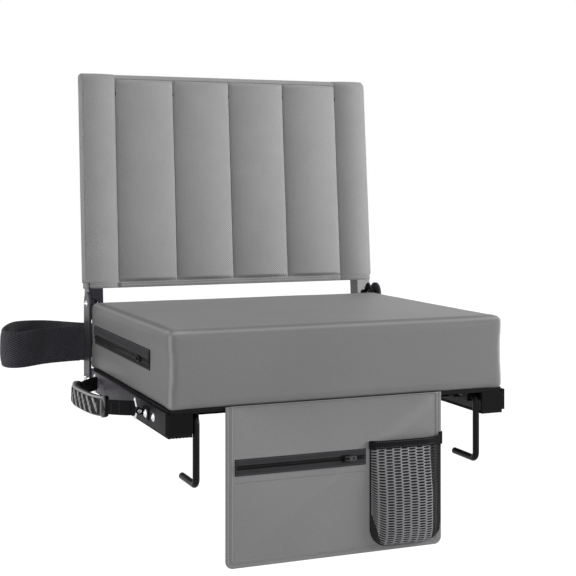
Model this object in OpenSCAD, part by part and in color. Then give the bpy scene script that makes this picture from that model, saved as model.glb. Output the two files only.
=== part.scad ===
// Folding bleacher seat: a box cushion on two steel rails, a reclined back that folds
// forward onto it, swing-in bench hooks, a strap handle, a shoulder strap and a hanging flap.
// Frame: +Z up, +X to the sitter's left as seen from the front, front edge towards -Y.
// Origin: midway between the rails and below the middle of the cushion, on the bench top.

/* [Seat cushion] */
// Width of the cushion, side to side
seat_w = 430; // [390:5:470]
// Depth of the cushion, front to back
seat_d = 355; // [330:5:390]
// Thickness of the cushion at its edges
cushion_t = 87.5; // [76:0.5:100]
// Rounding of the cushion's edges
cushion_round = 6; // [4:0.5:8]
// Rise of the crown at the middle of the cushion
cushion_crown = 2.5; // [1:0.5:3]
// How far the cushion's sides are drawn in at mid height
cushion_draw = 1.2; // [0.4:0.2:1.6]
// Thickness of the seat board
board_t = 5; // [4:0.5:9]

/* [Side rails] */
// Thickness of the rubber strip under each runner
strip_t = 4; // [3:0.5:5]
// Width of a runner tube
runner_w = 29; // [26:1:34]
// Height of a runner tube
runner_h = 22.5; // [20:0.5:28]
// Wall of the runner tube
runner_wall = 1.5; // [1.2:0.1:2]
// Thickness of the outer side plate
plate_t = 3; // [2:0.5:4]
// Height of the outer side plate
plate_h = 25; // [22:0.5:27]
// Setback of the rails' front ends from the cushion's front
rail_setback = 2; // [1:0.5:3]
// Depth of the cross bars' section
cross_bar_d = 22; // [18:1:26]
// Wall of the cross bars
cross_bar_wall = 2.5; // [2:0.5:3]

/* [Back hinge] */
// Width of a hinge bracket
bracket_w = 32; // [28:1:36]
// Thickness of a hinge bracket
bracket_t = 3; // [2.5:0.5:4]
// Distance of the pivot behind the cushion
pivot_behind = 9; // [8:0.5:14]
// Distance of the pivot below the cushion's top edge
pivot_drop = 1.5; // [0.5:0.5:4]
// Diameter of the pivot bolt
pivot_bolt_d = 6; // [5:0.5:7]
// Backward lean of the backrest
recline = 5; // [2:1:10]

/* [Backrest] */
// Height of the backrest pad
pad_h = 302; // [260:1:340]
// Gap between the cushion's top edge and the pad's hem
hem_gap = 19; // [17:1:30]
// Height of the pad's hem
hem_h = 8.5; // [7:0.5:11]
// Width of each outer channel, which sleeves an upright
sleeve_w = 48; // [42:1:56]
// How far the pad's channels stand proud of their seams
channel_bulge = 6; // [4:0.5:7]
// Width of an upright tube
upright_w = 20; // [16:1:22]
// Depth of an upright tube
upright_d = 26; // [22:1:30]
// Wall of an upright tube
upright_wall = 1.5; // [1.2:0.1:2]
// Length of the upright below the pivot
upright_tail = 22; // [18:1:24]
// Diameter of the curved back bar
bar_dia = 12; // [10:0.5:14]
// Height of the curved bar's ends above the pivot
bar_end_h = 183; // [165:1:200]
// Rise from the curved bar's lowest point to its ends
bar_rise = 60; // [40:1:70]

/* [Bench hooks] */
// Diameter of the hook rods
hook_dia = 8; // [6:0.5:9]
// Clear gap between the rubber strips and the hooks' feet
bench_gap = 51.5; // [40:0.5:60]
// Length of a hook's foot, measured from its leg
hook_foot = 52; // [40:1:56]
// Length of a hook's axle, measured from its leg
hook_axle = 64; // [58:1:70]

/* [Carry handle] */
// Distance between the handle's two tab rivets
handle_span = 250; // [220:2:262]
// How far the handle bows out from its rings
handle_bow = 38; // [28:1:44]
// Width of the handle webbing
handle_web_w = 18; // [16:1:24]
// Length of the moulded grip, along its curve
grip_len = 130; // [100:1:140]
// Height of the moulded grip
grip_h = 24; // [22:0.5:28]
// Number of finger ribs on the grip
grip_ribs = 7; // [4:1:9]

/* [Shoulder strap] */
// Width of the strap webbing
strap_w = 40; // [32:1:44]
// Thickness of the strap webbing
strap_web_t = 2.4; // [2:0.2:3]
// Width of the strap's pad
strap_pad_w = 46; // [42:1:50]
// Thickness of the strap's pad
strap_pad_t = 7; // [6:0.5:9]

/* [Front flap] */
// Width of the flap
flap_w = 276; // [240:2:300]
// Height of the flap
flap_h = 183; // [160:1:200]
// Sideways shift of the flap from the middle
flap_shift = -10; // [-12:1:12]
// Thickness of the flap
flap_t = 2.5; // [2:0.5:3]
// Distance of the flap's zip tape from the flap's side edge
flap_zip_margin = 11; // [8:1:16]
// Width of the mesh pocket
pocket_w = 93; // [80:1:100]
// Height of the mesh pocket with its top band
pocket_h = 125; // [100:1:128]
// How far the mesh pocket stands out
pocket_depth = 16; // [12:1:24]
// Wall of the mesh pocket
pocket_wall = 1.6; // [1.4:0.1:2]

/* [Zips] */
// Width of the zip tapes
zip_tape_w = 19; // [17:0.5:22]
// Width of the cushion zip with its storm flap
side_zip_w = 24.5; // [22:0.5:28]
// Length of the cushion zip
side_zip_len = 268; // [230:2:272]
// Length of a zip pull
pull_len = 14; // [10:1:16]

/* [Hidden] */

// Clearances
fit_gap = 0.05;
pin_gap = 0.1;
soft_gap = 0.3;
fold_gap = 1;
round_fn = 48;

// Colours
black_steel = [0.10, 0.10, 0.12];
satin_steel = [0.30, 0.30, 0.33];
bright_steel = [0.78, 0.78, 0.80];
black_plastic = [0.08, 0.08, 0.09];
black_rubber = [0.14, 0.14, 0.13];
black_webbing = [0.09, 0.09, 0.10];
grey_cloth = [0.50, 0.50, 0.50];
grey_weave = [0.55, 0.55, 0.55];
birch = [0.20, 0.19, 0.18];

// Levels, from the bench top up
runner_z0 = strip_t;
runner_z1 = runner_z0 + runner_h;
board_z1 = runner_z1 + board_t;
cushion_z0 = board_z1;
cushion_z1 = cushion_z0 + cushion_t;
plate_top_drop = 2.5;
plate_z1 = cushion_z0 - plate_top_drop;
plate_z0 = plate_z1 - plate_h;

// Sideways places, all given for the +X side
half_w = seat_w / 2;
runner_x1 = half_w;
runner_x0 = runner_x1 - runner_w;
plate_x1 = half_w + plate_t;
bracket_x1 = plate_x1 + bracket_t;

// Front and back places
front_y = -seat_d / 2;
back_y = seat_d / 2;
rail_y0 = front_y + rail_setback;
pivot_y = back_y + pivot_behind;
pivot_z = cushion_z1 - pivot_drop;
rail_y1 = pivot_y + bracket_w / 2;
cap_t = 2;
board_front_gap = 0.7;
board_y0 = front_y + flap_t + board_front_gap;
board_y1 = back_y - 3;

// Backrest section, measured behind the pivot before it leans back
crest_d = pivot_drop + cushion_crown + fold_gap;
seam_d = crest_d + channel_bulge;
upright_d0 = crest_d + 5;
upright_d1 = upright_d0 + upright_d;
pad_back_d = upright_d1 + 2;
foot_t = 3;
bush_len = 3;
upright_x1 = plate_x1 - bush_len;
upright_x0 = upright_x1 - upright_w;
pad_half_w = upright_x1 + 3;
pad_h0 = hem_gap + pivot_drop;
pad_h1 = pad_h0 + pad_h;
upright_top = pad_h1 - 16;
cross_tube_dia = 16;
cross_tube_h = upright_top - 12;
cross_tube_d = (upright_d0 + upright_d1) / 2;
pivot_r = pivot_bolt_d / 2;
pivot_washer_r = pivot_r + 3;
foot_eye_r = pivot_r + 4;
foot_low = -8;
foot_high = pad_h0 - 5;

// Recline stop
stop_r = 3;
stop_drop = 16;

// Rivets: the rear tab's stands ahead of the bracket, and the others a span and a pitch ahead of it
rivet_r = 2.6;
rivet_head_r = 5;
rivet_head_h = 2.6;
rivet_tail_r = 4;
rivet_tail_t = 2.5;
rivet_pitch = 27;
tab_to_bracket = 22;
rear_rivet_y = pivot_y - bracket_w / 2 - tab_to_bracket;
tab_rivet_y = rear_rivet_y - handle_span;
front_rivet_y = tab_rivet_y - rivet_pitch;
rivet_z = (plate_z0 + plate_z1) / 2;
bracket_rivets = [-12, 8];

// Hooks
hook_r = hook_dia / 2;
hook_x = runner_x0 - hook_r - 1.5;
hook_y = front_y + flap_t + 1 + hook_r;
hook_top_gap = 1.8;
hook_axle_z = runner_z1 - hook_top_gap - hook_r;
hook_foot_z = -bench_gap - hook_r;
hook_bend_r = hook_dia;
block_len = 12;
block_wall = 2.5;
block_y = [hook_y + hook_bend_r + 2, hook_y + hook_axle - block_len - 10];
collar_t = 5;
collar_r = hook_r + 1.3;
collar_y = block_y[1] + block_len + 0.3;

// Cross bars and their screws
front_bar_gap = 14;
rear_bar_inset = 55;
front_bar_y = hook_y + hook_axle + front_bar_gap;
rear_bar_y = back_y - rear_bar_inset;
screw_r = 2;
screw_head_r = 4;
screw_head_h = 2.2;
screw_spread = [-0.7, -0.25, 0.25, 0.7];

// Handle, on the -X side
ring_wire_r = 1.25;
stem_r = 2.2;
knuckle_r = 4;
knuckle_len = 8;
tab_t = 1.5;
tab_h = 13;
tab_front = 8;
handle_x = plate_x1 + tab_t + knuckle_r + 1.5;
handle_z = rivet_z + 2;
handle_mid_y = (tab_rivet_y + rear_rivet_y) / 2;
knuckle_y = 7;
ring_y = knuckle_y + knuckle_len + 1;
ring_len = 12;
ring_corner = 1.6;
ring_half_h = handle_web_w / 2 + 5.2;
web_half = handle_span / 2 - ring_y - ring_len;
bow_r = (web_half * web_half + handle_bow * handle_bow) / (2 * handle_bow);
bow_angle = asin(web_half / bow_r);
grip_angle = grip_len / bow_r * 90 / PI;
handle_web_t = 1.5;
grip_in = 5;
grip_out = 6;

// Shoulder strap: its route in plan, as points chosen by hand
strap_rise = 29;
strap_z = cushion_z0 + strap_rise;
strap_stud_y = pivot_y + 4;
strap_x = plate_x1 - strap_web_t / 2;
loop_reach = 115;
loop_depth = 97;
strap_run_gap = 8;
strap_run_y = rail_y1 + strap_run_gap;
strap_end_y = back_y + 6;
strap_hold_y = strap_stud_y + 8;
strap_free_y = rail_y1 + 2;
function loop_point(out, back) = [-(half_w + out * loop_reach), strap_run_y + back * loop_depth];
strap_route = [
    [-strap_x, strap_end_y - 5], [-strap_x, strap_end_y], [-strap_x, strap_hold_y], [-strap_x, strap_free_y],
    [-strap_x - 0.1 * loop_reach, strap_run_y + 0.03 * loop_depth],
    loop_point(0.5, -0.08), loop_point(0.82, -0.33), loop_point(0.98, -0.28), loop_point(1, 0.05),
    loop_point(0.84, 0.68), loop_point(0.66, 1), loop_point(0.35, 0.96), loop_point(0, 0.47),
    loop_point(-0.34, 0.1), loop_point(-0.76, 0.01), [0, strap_run_y + 1], [half_w - 60, strap_run_y + 1],
    [half_w - 18, strap_run_y + 1], [strap_x - 3.5, strap_run_y - 1], [strap_x - 0.6, strap_free_y - 1],
    [strap_x - 0.1, strap_hold_y], [strap_x - 0.1, strap_end_y], [strap_x - 0.1, strap_end_y - 5],
];
strap_steps = 5;
strap_pad_first = 16;
strap_pad_last = 60;
strap_nut_r = 5.8;
strap_nut_t = 5;
stud_r = 3;

// Flap
flap_y0 = front_y;
flap_y1 = flap_y0 + flap_t;
flap_z1 = cushion_z0 - soft_gap;
flap_z0 = flap_z1 - flap_h;
flap_x0 = flap_shift - flap_w / 2;
flap_x1 = flap_shift + flap_w / 2;
flap_corner_r = 9;
flap_zip_drop = 69.8;
flap_zip_z = cushion_z0 - flap_zip_drop;
zip_pocket_gap = 6.5;
flap_slider_from_end = 27;
pocket_inset = 1.5;
pocket_x1 = flap_x1 - pocket_inset;
pocket_x0 = pocket_x1 - pocket_w;
flap_zip_x0 = flap_x0 + flap_zip_margin;
flap_zip_x1 = pocket_x0 - zip_pocket_gap;
flap_zip_len = flap_zip_x1 - flap_zip_x0;
tape_t = 0.8;
coil_w = 4;
coil_t = 1.2;
slider_l = 9;
slider_w = 8;
slider_t = 3;
pull_w = 5;
pull_bar_r = 0.55;
pull_bar_x = -1.1;
pull_bar_y = -3.05;
flap_slider_x = flap_zip_x1 - flap_slider_from_end;

// Mesh pocket
pocket_drop = 51.7;
pocket_z1 = flap_z1 - pocket_drop;
pocket_z0 = pocket_z1 - pocket_h;
pocket_band_h = 9.5;
pocket_band_t = pocket_wall + 0.8;
pocket_side = 7;
pocket_corner_r = 22;
pocket_edge_r = 8;

// Cushion zip, on the -X side
side_zip_inset = 10;
side_slider_from_end = 44;
side_zip_y1 = back_y - side_zip_inset;
side_zip_y0 = side_zip_y1 - side_zip_len;
side_zip_z0 = cushion_z0 + 34;
side_coil_z = side_zip_z0 + 9;
side_zip_x = half_w - cushion_draw;
side_slider_y = side_zip_y0 + side_slider_from_end;

// Curved bar
bar_r = bar_dia / 2;
bar_plane_d = pad_back_d + bar_r + 1;
bar_end_x = upright_x0 + upright_w / 2;
bar_end_bend = bar_plane_d - upright_d1 - 0.5;
bar_stub = 14;
bar_fillet = 45;
bar_reach = bar_end_x - bar_end_bend - bar_stub;
bar_sweep = 2 * atan(bar_rise / bar_reach);
bar_arc_r = bar_reach / sin(bar_sweep) - bar_fillet;

// Shared shapes

module both_sides() {
    children();
    mirror([1, 0, 0]) children();
}

// Closed solid through rings of points that all run the same way, from the lowest up
module loft(rings) {
    n = len(rings[0]);
    m = len(rings);
    sides = [for (i = [0 : m - 2], j = [0 : n - 1]) let (a = i * n + j, b = i * n + (j + 1) % n)
        each [[a, b + n, b], [a, a + n, b + n]]];
    low = [[for (j = [0 : n - 1]) j]];
    high = [[for (j = [n - 1 : -1 : 0]) (m - 1) * n + j]];
    polyhedron(points = [for (r = rings) each r], faces = concat(low, sides, high));
}

// Ring of a rectangle with round corners, at height z
function round_ring(hx, hy, r, z, steps = 5) = [
    for (q = [0 : 3], i = [0 : steps])
        let (a = q * 90 + i * 90 / steps, sx = (q == 0 || q == 3) ? 1 : -1, sy = q < 2 ? 1 : -1)
            [sx * (hx - r) + r * cos(a), sy * (hy - r) + r * sin(a), z]
];

// Outline of a rectangle with its own radius at the low and the high corners
function round_outline(x0, x1, y0, y1, r_low, r_high, steps = 8) = concat(
    [for (i = [0 : steps]) let (a = 180 + i * 90 / steps) [x0 + r_low + r_low * cos(a), y0 + r_low + r_low * sin(a)]],
    [for (i = [0 : steps]) let (a = 270 + i * 90 / steps) [x1 - r_low + r_low * cos(a), y0 + r_low + r_low * sin(a)]],
    [for (i = [0 : steps]) let (a = i * 90 / steps) [x1 - r_high + r_high * cos(a), y1 - r_high + r_high * sin(a)]],
    [for (i = [0 : steps]) let (a = 90 + i * 90 / steps) [x0 + r_high + r_high * cos(a), y1 - r_high + r_high * sin(a)]]
);

// Smooth curve through a list of points
function spline_at(p, i, t) =
    let (a = p[i - 1], b = p[i], c = p[i + 1], d = p[i + 2])
        0.5 * (2 * b + (c - a) * t + (2 * a - 5 * b + 4 * c - d) * t * t + (3 * b - a - 3 * c + d) * t * t * t);
function spline(p, steps) = concat(
    [for (i = [1 : len(p) - 3], s = [0 : steps - 1]) spline_at(p, i, s / steps)],
    [p[len(p) - 2]]
);

// Outline of a strip of thickness t that follows the points
function unit(v) = v / norm(v);
function side_of(p, i) =
    let (v = unit(p[min(i + 1, len(p) - 1)] - p[max(i - 1, 0)])) [-v[1], v[0]];
function strip_outline(p, t) = concat(
    [for (i = [0 : len(p) - 1]) p[i] + side_of(p, i) * t / 2],
    [for (i = [len(p) - 1 : -1 : 0]) p[i] - side_of(p, i) * t / 2]
);

module rod_x(r, x0, x1) {
    translate([x0, 0, 0]) rotate([0, 90, 0]) cylinder(r = r, h = x1 - x0, $fn = round_fn);
}

module rod_y(r, y0, y1) {
    translate([0, y1, 0]) rotate([90, 0, 0]) cylinder(r = r, h = y1 - y0, $fn = round_fn);
}

// Profile of a domed head that stands on height 0
function dome(r, h, steps = 4) =
    let (ball = (r * r + h * h) / (2 * h), rim = asin(r / ball))
        [for (i = [0 : steps]) let (a = rim * (1 - i / steps)) [ball * sin(a), ball * cos(a) + h - ball]];

// Blind rivet on the +X side: its head bears on x = 0 and it clamps a stack of the given grip
module rivet(grip) {
    foot = -grip - rivet_tail_t;
    rotate([0, 90, 0]) rotate_extrude($fn = round_fn) polygon(concat(
        [[0, foot], [rivet_tail_r, foot], [rivet_tail_r, -grip], [rivet_r, -grip], [rivet_r, 0]],
        dome(rivet_head_r, rivet_head_h)
    ));
}

// Rails

module plate_holes(x0, x1) {
    for (y = [front_rivet_y, tab_rivet_y, rear_rivet_y, pivot_y + bracket_rivets[0], pivot_y + bracket_rivets[1]])
        translate([0, y, rivet_z]) rod_x(rivet_r + fit_gap, x0, x1);
}

module runner() {
    color(black_steel) difference() {
        translate([runner_x0, rail_y0 + cap_t, runner_z0]) cube([runner_w, rail_y1 - rail_y0 - 2 * cap_t, runner_h]);
        translate([runner_x0 + runner_wall, rail_y0, runner_z0 + runner_wall])
            cube([runner_w - 2 * runner_wall, rail_y1 - rail_y0, runner_h - 2 * runner_wall]);
        plate_holes(runner_x1 - runner_wall - 1, runner_x1 + 1);
    }
}

module side_plate() {
    color(satin_steel) difference() {
        translate([runner_x1, rail_y0, plate_z0]) cube([plate_t, rail_y1 - rail_y0, plate_h]);
        plate_holes(runner_x1 - 1, plate_x1 + 1);
    }
}

// Plug that closes the front end of a runner; its spigot leaves room for the rivets' tails
module end_cap() {
    spigot = 10;
    inset = runner_wall + 0.2;
    rivet_room = runner_wall + rivet_tail_t + 1.5;
    spigot_w = runner_w - inset - rivet_room;
    translate([runner_x0, rail_y0, runner_z0]) cube([runner_w, cap_t, runner_h]);
    difference() {
        translate([runner_x0 + inset, rail_y0 + cap_t - 0.5, runner_z0 + inset])
            cube([spigot_w, spigot, runner_h - 2 * inset]);
        translate([runner_x0 + inset + 2, rail_y0 + cap_t, runner_z0 + inset + 2])
            cube([spigot_w - 4, spigot, runner_h - 2 * inset - 4]);
    }
}

module runner_end_caps() {
    mid_y = (rail_y0 + rail_y1) / 2;
    color(black_plastic) both_sides() {
        end_cap();
        translate([0, mid_y, 0]) mirror([0, 1, 0]) translate([0, -mid_y, 0]) end_cap();
    }
}

// Rubber strip with grooves along its underside
module grip_strip() {
    edge = 0.5;
    grooves = 6;
    groove_w = 1.5;
    groove_h = 0.5;
    pitch = (runner_w - 2 * edge) / (grooves + 1);
    color(black_rubber) difference() {
        translate([runner_x0 + edge, rail_y0 + 0.5, 0]) cube([runner_w - 2 * edge, rail_y1 - rail_y0 - 1, strip_t]);
        for (i = [1 : grooves])
            translate([runner_x0 + edge + i * pitch - groove_w / 2, rail_y0 - 1, -1])
                cube([groove_w, rail_y1 - rail_y0 + 2, groove_h + 1]);
    }
}

// Angle bar between the runners, welded to their inner walls
module cross_bar(y) {
    color(black_steel) difference() {
        translate([-runner_x0, y, runner_z1 - cross_bar_d + 4]) cube([2 * runner_x0, cross_bar_d, cross_bar_d - 4]);
        translate([-runner_x0 - 1, y + cross_bar_wall, runner_z1 - cross_bar_d - 1])
            cube([2 * runner_x0 + 2, cross_bar_d, cross_bar_d + 1 - cross_bar_wall]);
        for (k = screw_spread)
            translate([k * runner_x0, y + cross_bar_d / 2 + 1, runner_z1 - cross_bar_wall - 1])
                cylinder(r = screw_r + fit_gap, h = cross_bar_wall + 2, $fn = round_fn);
    }
}

module board_screws() {
    bite = board_t - 1.5;
    color(bright_steel)
        for (y = [front_bar_y, rear_bar_y], k = screw_spread)
            translate([k * runner_x0, y + cross_bar_d / 2 + 1, runner_z1 - cross_bar_wall]) {
                translate([0, 0, -screw_head_h]) difference() {
                    cylinder(r = screw_head_r, h = screw_head_h, $fn = round_fn);
                    for (a = [0, 90]) rotate([0, 0, a]) translate([-2, -0.5, -1]) cube([4, 1, 2]);
                }
                cylinder(r = screw_r, h = cross_bar_wall + bite, $fn = round_fn);
            }
}

module seat_board() {
    half = runner_x1 - 0.4;
    color(birch) difference() {
        translate([0, 0, runner_z1]) linear_extrude(board_t)
            polygon(round_outline(-half, half, board_y0, board_y1, 3, 3));
        for (y = [front_bar_y, rear_bar_y], k = screw_spread)
            translate([k * runner_x0, y + cross_bar_d / 2 + 1, runner_z1 - 1])
                cylinder(r = screw_r + fit_gap, h = board_t, $fn = round_fn);
    }
}

// Cushion

// Each row is a level of the cushion: how far its ring is drawn in, and its height
function cushion_rows() = concat(
    [for (a = [0 : 30 : 90]) [cushion_round / 2 * (1 - sin(a)), cushion_z0 + cushion_round / 2 * (1 - cos(a))]],
    [for (k = [[0.12, 0.45], [0.22, 0.8], [0.34, 1], [0.7, 1], [0.8, 0.75]])
        [cushion_draw * k[1], cushion_z0 + cushion_t * k[0]]],
    [for (a = [0 : 18 : 90]) [cushion_round * (1 - cos(a)), cushion_z1 - cushion_round * (1 - sin(a))]]
);

module seat_cushion() {
    corner = cushion_round + 3;
    top_x = half_w - cushion_round;
    top_y = seat_d / 2 - cushion_round;
    crown = [for (s = [0.9, 0.72, 0.5, 0.25])
        round_ring(top_x * s, top_y * s, corner * s, cushion_z1 + cushion_crown * (1 - s * s))];
    walls = [for (row = cushion_rows())
        round_ring(half_w - row[0], seat_d / 2 - row[0], corner - row[0] / 2, row[1])];
    color(grey_cloth) loft(concat(walls, crown));
}

// Zips

module side_zip_tape() {
    color(black_webbing) translate([-side_zip_x - tape_t, side_zip_y0, side_zip_z0])
        cube([tape_t, side_zip_len, side_zip_w]);
}

module side_zip_coil() {
    color(black_plastic) translate([-side_zip_x - tape_t - coil_t, side_zip_y0 + 2, side_coil_z - coil_w / 2])
        cube([coil_t, side_zip_len - 4, coil_w]);
}

// Zip slider that lies on the XZ plane and rides along X: a top plate with two flanges
// that hug the coil, a bridge for the pull and a slot under the bridge
module slider() {
    roof = 0.9;
    flange = 1.2;
    top = coil_t + roof + pin_gap;
    translate([-slider_l / 2, -top, -slider_w / 2]) cube([slider_l, roof, slider_w]);
    for (s = [-1, 1])
        translate([-slider_l / 2, -top, s * (slider_w - flange) / 2 - flange / 2])
            cube([slider_l, top - 0.15, flange]);
    for (s = [-1, 1])
        translate([s * 2.6 - 0.7, -slider_t - 1, -1.1]) cube([1.4, slider_t + 1 - top + 0.1, 2.2]);
    translate([-3.3, -slider_t - 1.9, -1.1]) cube([6.6, 1, 2.2]);
}

// Pull that hooks the bridge and lies along +X; it turns about an axis along Z through its end bar
module pull() {
    hole_end = pull_bar_x + 5.3;
    translate([pull_bar_x, pull_bar_y, -pull_w / 2]) cylinder(r = pull_bar_r, h = pull_w, $fn = 24);
    difference() {
        translate([pull_bar_x, pull_bar_y - 0.5, -pull_w / 2]) cube([pull_len, 1, pull_w]);
        translate([pull_bar_x - 1, pull_bar_y - 2, -1.5]) cube([hole_end - pull_bar_x + 1, 4, 3]);
        translate([pull_bar_x + pull_len - 3.5, pull_bar_y + 2, 0]) rotate([90, 0, 0]) cylinder(r = 1.3, h = 4, $fn = 24);
    }
}

module on_side_coil() {
    translate([-side_zip_x - tape_t, side_slider_y, side_coil_z]) rotate([0, 0, -90]) children();
}

module on_flap_coil() {
    translate([flap_slider_x, flap_y0 - tape_t, flap_zip_z]) children();
}

module side_zip_slider() { color(black_plastic) on_side_coil() slider(); }
module side_zip_pull() { color(black_plastic) on_side_coil() pull(); }
module flap_zip_slider() { color(black_plastic) on_flap_coil() slider(); }
module flap_zip_pull() { color(bright_steel) on_flap_coil() pull(); }

// Hinges

module hinge_bracket() {
    r = bracket_w / 2;
    foot_z = plate_z0;
    color(satin_steel) difference() {
        union() {
            translate([plate_x1, pivot_y - r, foot_z]) cube([bracket_t, bracket_w, pivot_z - foot_z]);
            translate([0, pivot_y, pivot_z]) rod_x(r, plate_x1, bracket_x1);
        }
        translate([0, pivot_y, pivot_z]) rod_x(pivot_r + fit_gap, plate_x1 - 1, bracket_x1 + 1);
        for (dy = bracket_rivets)
            translate([0, pivot_y + dy, rivet_z]) rod_x(rivet_r + fit_gap, plate_x1 - 1, bracket_x1 + 1);
    }
}

module rail_rivets() {
    plain_grip = plate_t + runner_wall;
    color(bright_steel) {
        both_sides() {
            translate([plate_x1, front_rivet_y, rivet_z]) rivet(plain_grip);
            for (dy = bracket_rivets)
                translate([bracket_x1, pivot_y + dy, rivet_z]) rivet(plain_grip + bracket_t);
        }
        for (y = [tab_rivet_y, rear_rivet_y]) {
            translate([plate_x1, y, rivet_z]) rivet(plain_grip);
            mirror([1, 0, 0]) translate([plate_x1 + tab_t, y, rivet_z]) rivet(plain_grip + tab_t);
        }
    }
}

module pivot_bolts() {
    head_r = pivot_r + 1.8;
    head_t = 3.2;
    shank = bracket_x1 - upright_x1 + foot_t + 6.5;
    color(bright_steel) both_sides() translate([bracket_x1, pivot_y, pivot_z])
        rotate([0, 90, 0]) rotate_extrude($fn = round_fn)
            polygon(concat([[0, -shank], [pivot_r, -shank], [pivot_r, 0]], dome(head_r, head_t)));
}

module pivot_nuts() {
    across = pivot_r + 2.7;
    color(black_steel) both_sides() translate([upright_x1 - foot_t - 5.5, pivot_y, pivot_z]) rotate([0, 90, 0]) difference() {
        cylinder(r = across, h = 5.3, $fn = 6);
        translate([0, 0, -1]) cylinder(r = pivot_r, h = 8, $fn = round_fn);
    }
}

module pivot_bushes() {
    color(black_plastic) both_sides() translate([0, pivot_y, pivot_z]) difference() {
        rod_x(pivot_washer_r, plate_x1 - bush_len + pin_gap, plate_x1);
        rod_x(pivot_r + fit_gap, plate_x1 - bush_len - 1, plate_x1 + 1);
    }
}

module recline_stop_pins() {
    color(bright_steel) both_sides() translate([0, pivot_y, pivot_z]) rotate([-recline, 0, 0])
        translate([0, upright_d0 - stop_r - soft_gap, -stop_drop]) rod_x(stop_r, upright_x0 + 2, plate_x1);
}

// Backrest

// Puts the backrest's own frame, which starts at the pivot, at its lean
module leaned() {
    translate([0, pivot_y, pivot_z]) rotate([-recline, 0, 0]) children();
}

module upright() {
    plug_t = 2;
    color(black_steel) leaned() difference() {
        union() {
            translate([upright_x0, upright_d0, -upright_tail + plug_t])
                cube([upright_w, upright_d, upright_top + upright_tail - plug_t]);
            translate([upright_x1 - foot_t, 0, 0]) rotate([90, 0, 90]) linear_extrude(foot_t) polygon(concat(
                [for (a = [90 : 15 : 270]) [foot_eye_r * cos(a), foot_eye_r * sin(a)]],
                [[upright_d1, foot_low], [upright_d1, foot_high], [upright_d0, foot_high]]
            ));
        }
        translate([upright_x0 + upright_wall, upright_d0 + upright_wall, -upright_tail])
            cube([upright_w - 2 * upright_wall, upright_d - 2 * upright_wall, upright_top + upright_tail + 1]);
        rod_x(pivot_r + fit_gap, upright_x1 - foot_t - 1, upright_x1 + 1);
    }
}

module upright_end_plugs() {
    plug_t = 2;
    inset = upright_wall + 0.2;
    color(black_plastic) both_sides() leaned() {
        translate([upright_x0, upright_d0, -upright_tail]) cube([upright_w, upright_d, plug_t]);
        translate([upright_x0 + inset, upright_d0 + inset, -upright_tail + plug_t - 0.5])
            cube([upright_w - 2 * inset, upright_d - 2 * inset, 9]);
    }
}

module top_cross_tube() {
    color(black_steel) leaned() translate([0, cross_tube_d, cross_tube_h]) difference() {
        rod_x(cross_tube_dia / 2, -upright_x0, upright_x0);
        rod_x(cross_tube_dia / 2 - 1.2, -upright_x0 - 1, upright_x0 + 1);
    }
}

// Seams between the six channels, from the -X side
function pad_seams(hw) =
    let (inner = (2 * hw - 2 * sleeve_w) / 4)
        [-hw, -hw + sleeve_w, -hw + sleeve_w + inner, 0, hw - sleeve_w - inner, hw - sleeve_w, hw];

// One level of the pad: half width, bulge of the inner and the outer channels, set-back of the front, height
function pad_ring(hw, inner, outer, back, h) =
    let (seams = pad_seams(hw), steps = 7, inner_d = seam_d - 1.5 + 1.5 * inner)
        concat(
            [for (c = [0 : 5], s = [0 : steps - 1])
                let (t = s / steps, edge = c == 0 || c == 5, k = edge ? outer : inner,
                    turn = c == 0 ? 24 + 156 * t : c == 5 ? 156 * t : 180 * t)
                    [seams[c] + (seams[c + 1] - seams[c]) * t,
                     back + (edge ? seam_d : inner_d) - channel_bulge * k * pow(sin(turn), 0.55), h]],
            [
                [hw, back + seam_d - channel_bulge * outer * 0.6, h], [hw, pad_back_d - 2.5, h],
                [hw - 2.5, pad_back_d, h],
                [upright_x0 - 24, pad_back_d, h], [upright_x0 - 28, pad_back_d - 1.6, h],
                [-upright_x0 + 28, pad_back_d - 1.6, h], [-upright_x0 + 24, pad_back_d, h],
                [-hw + 2.5, pad_back_d, h], [-hw, pad_back_d - 2.5, h],
            ]
        );

// Each row is a level above the hem's foot: half width, inner bulge, outer bulge, front set-back, height
pad_rows = [
    [pad_half_w - 1.6, 0.15, 0.85, 0, 0], [pad_half_w - 1.2, 0.25, 0.95, 0, 2],
    [pad_half_w - 1.2, 0.25, 1, 0, hem_h - 1.5], [pad_half_w - 1, 0, 1, 0, hem_h],
    [pad_half_w, 0, 1, 0, hem_h + 1], [pad_half_w, 0.6, 1, 0, hem_h + 4],
    [pad_half_w, 0.88, 1, 0, hem_h + 11], [pad_half_w, 1, 1, 0, hem_h + 24],
    [pad_half_w, 1, 1, 0, pad_h / 2], [pad_half_w, 1, 1, 0, pad_h - 30],
    [pad_half_w, 0.88, 1, 0, pad_h - 19], [pad_half_w, 0.55, 1, 0.5, pad_h - 12],
    [pad_half_w, 0, 0.95, 2, pad_h - 8], [pad_half_w, 0.2, 0.9, 3.5, pad_h - 6],
    [pad_half_w, 0.2, 0.7, 8, pad_h - 2.5], [pad_half_w - 1, 0.1, 0.5, 12, pad_h],
];

module backrest_pad() {
    room = soft_gap;
    color(grey_weave) leaned() difference() {
        loft([for (row = pad_rows) pad_ring(row[0], row[1], row[2], row[3], pad_h0 + row[4])]);
        both_sides() {
            translate([upright_x0 - room, upright_d0, pad_h0 - 10])
                cube([upright_w + 2 * room, upright_d, upright_top - pad_h0 + 10 + room]);
            translate([bar_end_x, 0, bar_end_h]) rod_y(bar_r + room, upright_d1 - 1, pad_back_d + 2);
        }
        translate([0, cross_tube_d, cross_tube_h]) rod_x(cross_tube_dia / 2 + room, -upright_x0, upright_x0);
    }
}

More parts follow.
